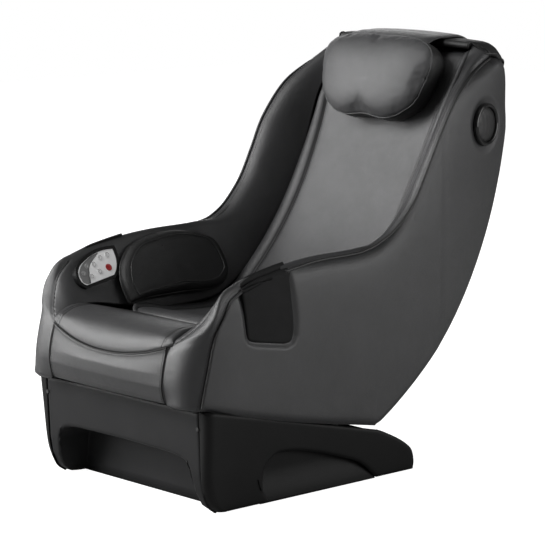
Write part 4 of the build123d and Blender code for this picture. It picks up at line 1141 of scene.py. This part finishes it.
def make_pockets():
    """Pouches on the arms: a flat face, a lip over the side seam and a slot to reach in; a near-black cord in
    the slot is painted shade.
    """
    left = smooth_curve(POCKET_LEFT, 44)
    right = smooth_curve(POCKET_RIGHT, 44)
    low = run_of([left[0], right[0]], 44)
    high_y = np.linspace(left[-1, 0], right[-1, 0], 44)
    seam_x, seam_z = seam_at(high_y)
    left[-1, 1], right[-1, 1] = seam_z[0] - 0.004, seam_z[-1] - 0.004
    flat = coons(low, np.column_stack([high_y, seam_z - 0.004]), left, right)
    edge = distance_to(np.vstack([left[::-1], low, right]), flat)
    x = plan_x(flat[..., 0]) - 0.0045 - 0.003 * np.exp(-(edge / 0.0025) ** 1.3)
    open_part = ramp(high_y, POCKET_FRONT + 0.010, POCKET_FRONT + 0.018)
    open_part = open_part * (1 - ramp(high_y, POCKET_REAR - 0.018, POCKET_REAR - 0.010))
    rows = [np.dstack([x, flat])]
    # From the seam inwards: x and z from the seam, and how far the slot sinks the lip
    lip = [(0.0045, 0.001, 0), (0.0030, 0.0055, 0), (0.0005, 0.0078, 0), (-0.0020, 0.0080, 0),
           (-0.0036, 0.0070, -0.008), (-0.0100, 0.0070, -0.008), (-0.0112, 0.0110, 0), (-0.0130, 0.0165, 0),
           (-0.0160, 0.0198, 0), (-0.0195, 0.0205, 0), (-0.0230, 0.0160, 0)]
    for dx, dz, dip in lip:
        rows.append(np.column_stack([seam_x + dx, high_y, seam_z + dz + dip * open_part])[None])
    outer = np.concatenate(rows, axis=0)
    normal = grid_normals(outer)
    inner = outer - normal * np.sign(normal[10, 20, 0]) * 0.0035
    slot_y = np.linspace(POCKET_FRONT + 0.014, POCKET_REAR - 0.014, 30)
    slot_x, slot_z = seam_at(slot_y)
    slot_line = np.column_stack([slot_x - 0.0068, slot_y, slot_z + 0.0012])
    for sign, name in SIDES:
        scale = mirrored(sign)
        panel = two_skins(f"pocket_panel_{name}", outer * scale, inner * scale, POCKET)
        if sign > 0:
            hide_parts("side_pockets")
        # Painted shade: a near-black cord laid in the slot stands in for the shadow inside the pocket.
        mouth = tube(f"pocket_slot_shade_{name}", slot_line * scale, 0.0030, POCKET_SLOT_SHADE)
        hang([panel, mouth], "chair")


def axes_about(axis):
    """Unit vectors along an axis and two across it."""
    along = unit(np.array(axis, float))
    across = unit(np.cross(along, [0, 0, 1.0]))
    return along, across, np.cross(along, across)


def lathe(name, centre, axis, profile, material, sides=72):
    """A turned piece: profile is (radius, height along the axis)."""
    axis, across, up = axes_about(axis)
    angle = np.linspace(0, 2 * np.pi, sides, endpoint=False)
    loops = []
    for radius, height in profile:
        ring = np.cos(angle)[:, None] * across + np.sin(angle)[:, None] * up
        loops.append(np.array(centre) + ring * radius + axis * height)
    return loft(name, loops, material)


def make_speakers():
    """Speakers on the wings: a gloss ring and a domed perforated grille."""
    ring_profile = [(0.0470, -0.004), (0.0472, 0.0035), (0.0480, 0.0052), (0.0500, 0.0066), (0.0530, 0.0068),
                    (0.0560, 0.0056), (0.0575, 0.0030), (0.0578, -0.003), (0.0560, -0.008), (0.0480, -0.008)]
    dome = [(0.0012, 0.0046), (0.012, 0.0045), (0.024, 0.0038), (0.036, 0.0026), (0.0455, 0.0008),
            (0.0465, -0.001), (0.0455, -0.002), (0.024, 0.001), (0.0012, 0.002)]
    for sign, name in SIDES:
        centre = np.array(SPEAKER_AT) * mirrored(sign)
        axis = SPEAKER_N * mirrored(sign)
        ring = ring_piece(f"speaker_ring_{name}", centre, axis, ring_profile, GLOSS_BLACK)
        grille = lathe(f"speaker_mesh_{name}", centre, axis, dome, GRILLE)
        hang([ring], "chair")
        hang([grille], "chair")
        if sign > 0:
            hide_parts("speaker_housings")
            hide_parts("speaker_grilles")


def ring_piece(name, centre, axis, section, material, sides=80):
    """A closed ring: section is the outline of its cross-section, as (radius, height) points."""
    axis, across, up = axes_about(axis)
    verts, faces = [], []
    for i in range(sides):
        angle = 2 * math.pi * i / sides
        out = math.cos(angle) * across + math.sin(angle) * up
        verts += [np.array(centre) + out * r + axis * h for r, h in section]
    n = len(section)
    for i in range(sides):
        k = (i + 1) % sides
        for j in range(n):
            m = (j + 1) % n
            faces.append((i * n + j, i * n + m, k * n + m, k * n + j))
    return new_object(name, verts, faces, material)


# ------------------------------------------------------------------ control panel

PANEL_Y = -0.387  # middle of the panel
# Outline of the silver film: its arc beside the white film, then its outer edge
FILM_ARC = [(0.0205, 0.0440), (0.0080, 0.0365), (-0.0160, 0.0175), (-0.0330, -0.0060), (-0.0395, -0.0250),
            (-0.0380, -0.0385)]
FILM_EDGE = [(-0.0500, -0.0400), (-0.0610, -0.0340), (-0.0640, -0.0250), (-0.0640, -0.0060),
             (-0.0500, 0.0120), (-0.0310, 0.0250), (-0.0050, 0.0370), (0.0200, 0.0435)]
# Place along the arm and up the slope, and radius, as in the CAD
BUTTON_AT = {
    "power": (0.037, -0.0014, 0.0095),
    "auto": (0.0456, 0.034, 0.0075),
    "knead": (0.0195, 0.029, 0.0075),
    "tap": (-0.0077, 0.0127, 0.0075),
    "heat": (0.0035, -0.0088, 0.0075),
    "air": (-0.0278, -0.0194, 0.0070),
    "up": (-0.033, 0.010, 0.0065),
    "down": (-0.050, -0.009, 0.0065),
}
FILM_TOP = 0.0049  # height of the silver film's face over the slope
PRINT_LIFT = 0.0057  # height of the buttons' faces over the slope


def panel_point(u, v, lift):
    """A point of the control panel: along the arm, up the slope, lifted off the slope."""
    return slope_point(PANEL_Y + u, v, lift, -1)


def make_control_panel():
    """Silver film beside the white one, and a printed ring with a mark on every button."""
    outline = np.vstack([smooth_curve(FILM_ARC, 30), smooth_curve(FILM_EDGE, 30)])
    centre = outline.mean(0)
    section = [(0.03, FILM_TOP), (0.6, FILM_TOP), (0.97, FILM_TOP), (1.0, 0.0046), (1.0, 0.0040),
               (0.03, 0.0040)]
    loops = []
    for share, lift in section:
        loops.append([panel_point(u, v, lift) for u, v in centre + (outline - centre) * share])
    film = loft("panel_film_silver", loops, SILVER_FILM)
    hang([film], "chair")
    for name, (u, v, radius) in BUTTON_AT.items():
        outer = radius * 0.80
        inner = outer - 0.0007
        section = [(outer, 0.0), (outer, 0.0004), (inner, 0.0004), (inner, 0.0)]
        print_ring = ring_piece(f"icon_ring_{name}", panel_point(u, v, PRINT_LIFT), SLOPE_OUT * mirrored(-1),
                                section, INK, 48)
        bend = 0.35 * outer
        mark = [panel_point(u + bend * math.cos(a), v + bend * math.sin(a), PRINT_LIFT + 0.0002)
                for a in np.linspace(0.6, 5.0, 16)]
        print_mark = tube(f"icon_mark_{name}", mark, 0.0004, INK, 6)
        hang([print_ring, print_mark], f"button_{name}")


# ------------------------------------------------------------------ base

# Profile of the base's front face, top to bottom: (z, y)
BASE_FRONT = [(0.268, -0.5405), (0.205, -0.5375), (0.105, -0.533), (0.060, -0.525), (0.024, -0.508),
              (0.006, -0.484)]
RECESS_Y = -0.435  # the panel behind the front arch
BASE_LOW = BASE_FRONT[-1][0]  # bottom edge of the covers
BASE_HIGH = BASE_FRONT[0][0]  # top edge of the front cover
CORNER_R = 0.022  # round between the front and the sides
SIDE_SPLIT = 0.303  # the front cover meets the side covers at this distance from the middle
SIDE_ARCH = [(-0.316, 0.006), (-0.340, 0.042), (-0.341, 0.092), (-0.318, 0.121), (-0.285, 0.131),
             (-0.221, 0.124), (-0.150, 0.107), (-0.077, 0.084), (-0.002, 0.055), (0.061, 0.006)]


def base_front(z):
    """y of the base's front face at a height."""
    keys = np.array(BASE_FRONT[::-1])
    return np.interp(z, keys[:, 0], keys[:, 1])


def side_face(z):
    """x of the base's side face at a height."""
    return 0.321 + 0.082 * z


def make_base_side_covers():
    """Side covers of the base: slanted, arched below, turned round the front corner."""
    columns, rows = 190, 60
    arch = smooth_curve(SIDE_ARCH, 150)
    low = run_of([(-0.483 + CORNER_R, BASE_LOW), *arch, (0.199, BASE_LOW)], columns)
    high = run_of([(-0.5405 + CORNER_R, 0.2705), (0.056, 0.136)], columns)
    left = smooth_curve([(y + CORNER_R, z) for z, y in BASE_FRONT[::-1]], rows)
    left[-1] = high[0]
    right = smooth_curve([(0.199, BASE_LOW), (0.200, 0.029), (0.190, 0.059), (0.169, 0.079), (0.133, 0.101),
                          (0.083, 0.125), (0.056, 0.136)], rows)
    flat = coons(low, high, left, right)
    edge = distance_to(np.vstack([low, right, high[::-1]]), flat)
    x = side_face(flat[..., 1]) - 0.0045 * np.exp(-(edge / 0.0035) ** 1.3)
    side = np.dstack([x, flat])
    turned = []
    for angle in np.linspace(math.pi / 2, 0, 9)[:-1]:
        column = side[:, 0].copy()
        column[:, 0] -= CORNER_R * (1 - math.cos(angle))
        column[:, 1] -= CORNER_R * math.sin(angle)
        turned.append(column)
    front = []
    for share in np.linspace(0, 1, 6)[:-1]:
        column = turned[0].copy()
        column[:, 0] = (SIDE_SPLIT + 0.0008) * (1 - share) + column[:, 0] * share
        column[:, 1] += 0.002 * (share == 0)
        front.append(column)
    outer = np.concatenate([np.stack(front + turned, axis=1), side], axis=1)
    normal = grid_normals(outer)
    inward = normal * np.sign(normal[rows // 2, -20, 0]) * -0.003
    top = np.column_stack([arch[:, 0], arch[:, 1] + 0.004])
    foot = np.column_stack([arch[:, 0], np.full(len(arch), 0.003)])
    wall = foot[None] + (top - foot)[None] * np.linspace(0, 1, 24)[:, None, None]
    depth = 0.008 + 0.016 * ramp(wall[..., 1], 0.0, 0.09)
    recess = np.dstack([side_face(wall[..., 1]) - depth, wall])
    for sign, name in SIDES:
        scale = mirrored(sign)
        cover = two_skins(f"base_side_moulding_{name}", outer * scale, (outer + inward) * scale, BASE_DARK)
        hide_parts(f"base_side_cover_{name}")
        behind = (recess - [0.003, 0, 0]) * scale
        sunk = two_skins(f"base_side_recess_{name}", recess * scale, behind, BASE_DARK)
        hang([cover, sunk], "chair")


def make_base_front_cover():
    """Front cover of the base: a face around the arch, the arch's walls and the panel behind."""
    columns = 230
    half_arch = smooth_curve([(0.278, BASE_LOW), (0.266, 0.090), (0.262, 0.113), (0.250, 0.130),
                              (0.225, 0.141), (0.170, 0.146), (0.0, 0.149)], 110)
    arch = np.vstack([half_arch * np.array([-1, 1]), half_arch[-2::-1]])
    low = run_of([(-SIDE_SPLIT, BASE_LOW), *arch, (SIDE_SPLIT, BASE_LOW)], columns)
    high = run_of([(-SIDE_SPLIT, BASE_HIGH), (SIDE_SPLIT, BASE_HIGH)], columns)
    rise = smooth_curve([(0, BASE_LOW), (0, BASE_HIGH)], 36)
    face = coons(low, high, rise - [SIDE_SPLIT, 0], rise + [SIDE_SPLIT, 0])[::-1]
    y = base_front(face[..., 1])
    edge = np.minimum(distance_to(low, face), SIDE_SPLIT - np.abs(face[..., 0]))
    edge = np.minimum(edge, BASE_HIGH - face[..., 1])
    y = y + 0.0035 * np.exp(-(np.maximum(edge, 0) / 0.003) ** 1.3)
    outer = np.dstack([face[..., 0], y, face[..., 1]])
    rim = outer[-1]
    rows = [outer]
    for share in (0.03, 0.1, 0.3, 0.6, 0.9, 0.97, 1.0):
        row = rim.copy()
        row[:, 1] += (RECESS_Y - rim[:, 1]) * share
        row[:, 2] = np.maximum(row[:, 2] - 0.004 * share - 0.005 * (share > 0.95), 0.004)
        row[:, 0] *= 1 - 0.02 * share
        rows.append(row[None])
    for share in (0.04, 0.2, 0.5, 0.8, 1.0):
        row = rows[7][0].copy()
        row[:, 2] = 0.003 + (row[:, 2] - 0.003) * (1 - share)
        row[:, 0] *= 1 - 0.02 * share
        rows.append(row[None])
    outer = np.concatenate(rows, axis=0)
    normal = grid_normals(outer)
    inward = normal * np.sign(normal[10, columns // 2, 1]) * 0.0025
    cover = two_skins("base_front_moulding", outer, outer + inward, BASE_PLASTIC)
    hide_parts("base_front_cover")
    hang([cover], "chair")


def make_base_rear_cover():
    """Rear cover of the base, with the openings of the inlet and the switch."""
    cover = softened_copy("base_rear_cover", "base_rear_moulding", 0.0030, BASE_DARK)
    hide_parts("base_rear_cover")
    hang([cover], "chair")


# ------------------------------------------------------------------ materials for the CAD nodes that stay

def dress_cad_nodes():
    """Gives every carried-over CAD node a material from nodes, by its slot."""
    looks = {
        "frame_steel": metal("frame_steel", grey(0.03), grey(0.05), 0.45, False),
        "bright_steel": metal("bright_steel", grey(0.42), grey(0.62), 0.32),
        "base_plastic": BASE_DARK,
        "black_screw": metal("black_screw", grey(0.02), grey(0.03), 0.4, False),
        "foot_rubber": moulded("foot_rubber", grey(0.010), grey(0.018), 0.8),
        "airbag_fabric": AIRBAG,
        "plywood": woven("plywood", (0.42, 0.28, 0.15), (0.56, 0.40, 0.23), 0.6, 300.0),
        "gloss_black": GLOSS_BLACK,
        "mesh_metal": GRILLE,
        "panel_white": plain_gloss("panel_film", grey(0.90), grey(0.95), 0.30),
        "button_white": plain_gloss("button_film", grey(0.90), grey(0.95), 0.28),
        "button_grey": plain_gloss("button_grey_film", grey(0.42), grey(0.50), 0.30),
        "button_red": plain_gloss("button_red", (0.42, 0.012, 0.014), (0.58, 0.03, 0.03), 0.25),
        "circuit_board": moulded("circuit_board", (0.01, 0.10, 0.04), (0.015, 0.16, 0.06), 0.45),
        "nylon": moulded("nylon", grey(0.55), grey(0.65), 0.45),
        "roller_plastic": moulded("roller_plastic", grey(0.08), grey(0.12), 0.5),
        "motor_metal": metal("motor_metal", grey(0.12), grey(0.2), 0.5, False),
        "equipment_plastic": moulded("equipment_plastic", grey(0.035), grey(0.05), 0.5),
        "pu_leather": LEATHER,
        "pad_leather": LEATHER_PAD,
        "pocket_fabric": POCKET,
    }
    for row in frame["record"]["subparts"]:
        node = frame["nodes"][row["node"]]
        look = looks["black_screw" if "screw" in row["node"] else row["material_slot"]]
        node.data.materials.clear()
        node.data.materials.append(look)


# ------------------------------------------------------------------ stage

def seen_directly(nodes, link, otherwise, value):
    """A strength that is one value for what the camera sees and another for light on the chair."""
    path = nodes.new("ShaderNodeLightPath")
    mix = nodes.new("ShaderNodeMapRange")
    mix.inputs["To Min"].default_value = otherwise
    mix.inputs["To Max"].default_value = value
    link(path.outputs["Is Camera Ray"], mix.inputs["Value"])
    return mix.outputs["Result"]


def aimed(name, data, at, aim):
    """A lamp or camera at a place, looking at a point."""
    obj = bpy.data.objects.new(name, data)
    obj.location = at
    obj.rotation_euler = (Vector(aim) - Vector(at)).to_track_quat("-Z", "Y").to_euler()
    bpy.context.scene.collection.objects.link(obj)
    return obj


def make_stage():
    """Pale floor, soft lights and the camera at the viewing angle."""
    verts = [(-9, -9, 0), (9, -9, 0), (9, 9, 0), (-9, 9, 0)]
    material, nodes, link, shader = node_material("stage_floor")
    place = texture_place(nodes, link)
    tone = noise_texture(nodes, link, place, 0.7, 2.0)
    link(colour_ramp(nodes, link, tone, [(0.2, grey(0.38)), (0.8, grey(0.42))]), shader.inputs["Base Color"])
    shader.inputs["Roughness"].default_value = 0.7
    shader.inputs["Specular IOR Level"].default_value = 0.0
    shader.inputs["Emission Color"].default_value = (1, 1, 1, 1)
    link(seen_directly(nodes, link, 0.0, 1.0), shader.inputs["Emission Strength"])
    floor = new_object("stage_floor", verts, [(0, 1, 2, 3)], material, False)
    bpy.context.scene.view_settings.view_transform = "Standard"
    world = bpy.data.worlds.new("studio")
    bpy.context.scene.world = world
    world.use_nodes = True
    nodes = world.node_tree.nodes
    link = world.node_tree.links.new
    nodes["Background"].inputs["Color"].default_value = (1, 1, 1, 1)
    link(seen_directly(nodes, link, 0.13, 1.0), nodes["Background"].inputs["Strength"])
    lights = [
        ("key", (-3.4, -3.0, 1.9), (0, -0.1, 0.6), 2.8, 260),
        ("front_high", (-1.2, -3.5, 3.9), (0, -0.2, 0.6), 1.8, 150),
        ("top", (-0.5, -0.8, 4.2), (0, 0, 0.6), 2.0, 15),
        ("right", (5.0, 1.0, 1.6), (0.3, 0, 0.6), 2.4, 50),
        ("rear_side", (3.8, 3.0, 1.6), (0.3, 0.0, 0.7), 2.6, 80),
        ("backdrop", (-4.2, 3.8, 1.6), (0, 0, 0.7), 3.0, 60),
    ]
    for name, at, aim, size, power in lights:
        data = bpy.data.lights.new(name, "AREA")
        data.size = size
        data.energy = power
        aimed(name, data, at, aim)
    camera_data = bpy.data.cameras.new("camera")
    camera_data.lens = 173.44
    camera_data.sensor_width = 36
    camera = aimed("camera", camera_data, (5.0666, -4.6528, 1.6843), (0.0, -0.015, 0.518))
    bpy.context.scene.camera = camera


dress_cad_nodes()
make_side_panels()
make_arms()
make_back_pad()
make_seat()
make_apron()
make_rear_cover()
make_pillow()
make_flap()
make_hip_cushions()
make_hip_airbags()
make_pockets()
make_speakers()
make_control_panel()
make_base_front_cover()
make_base_side_covers()
make_base_rear_cover()
make_stage()

bpy.context.view_layer.update()
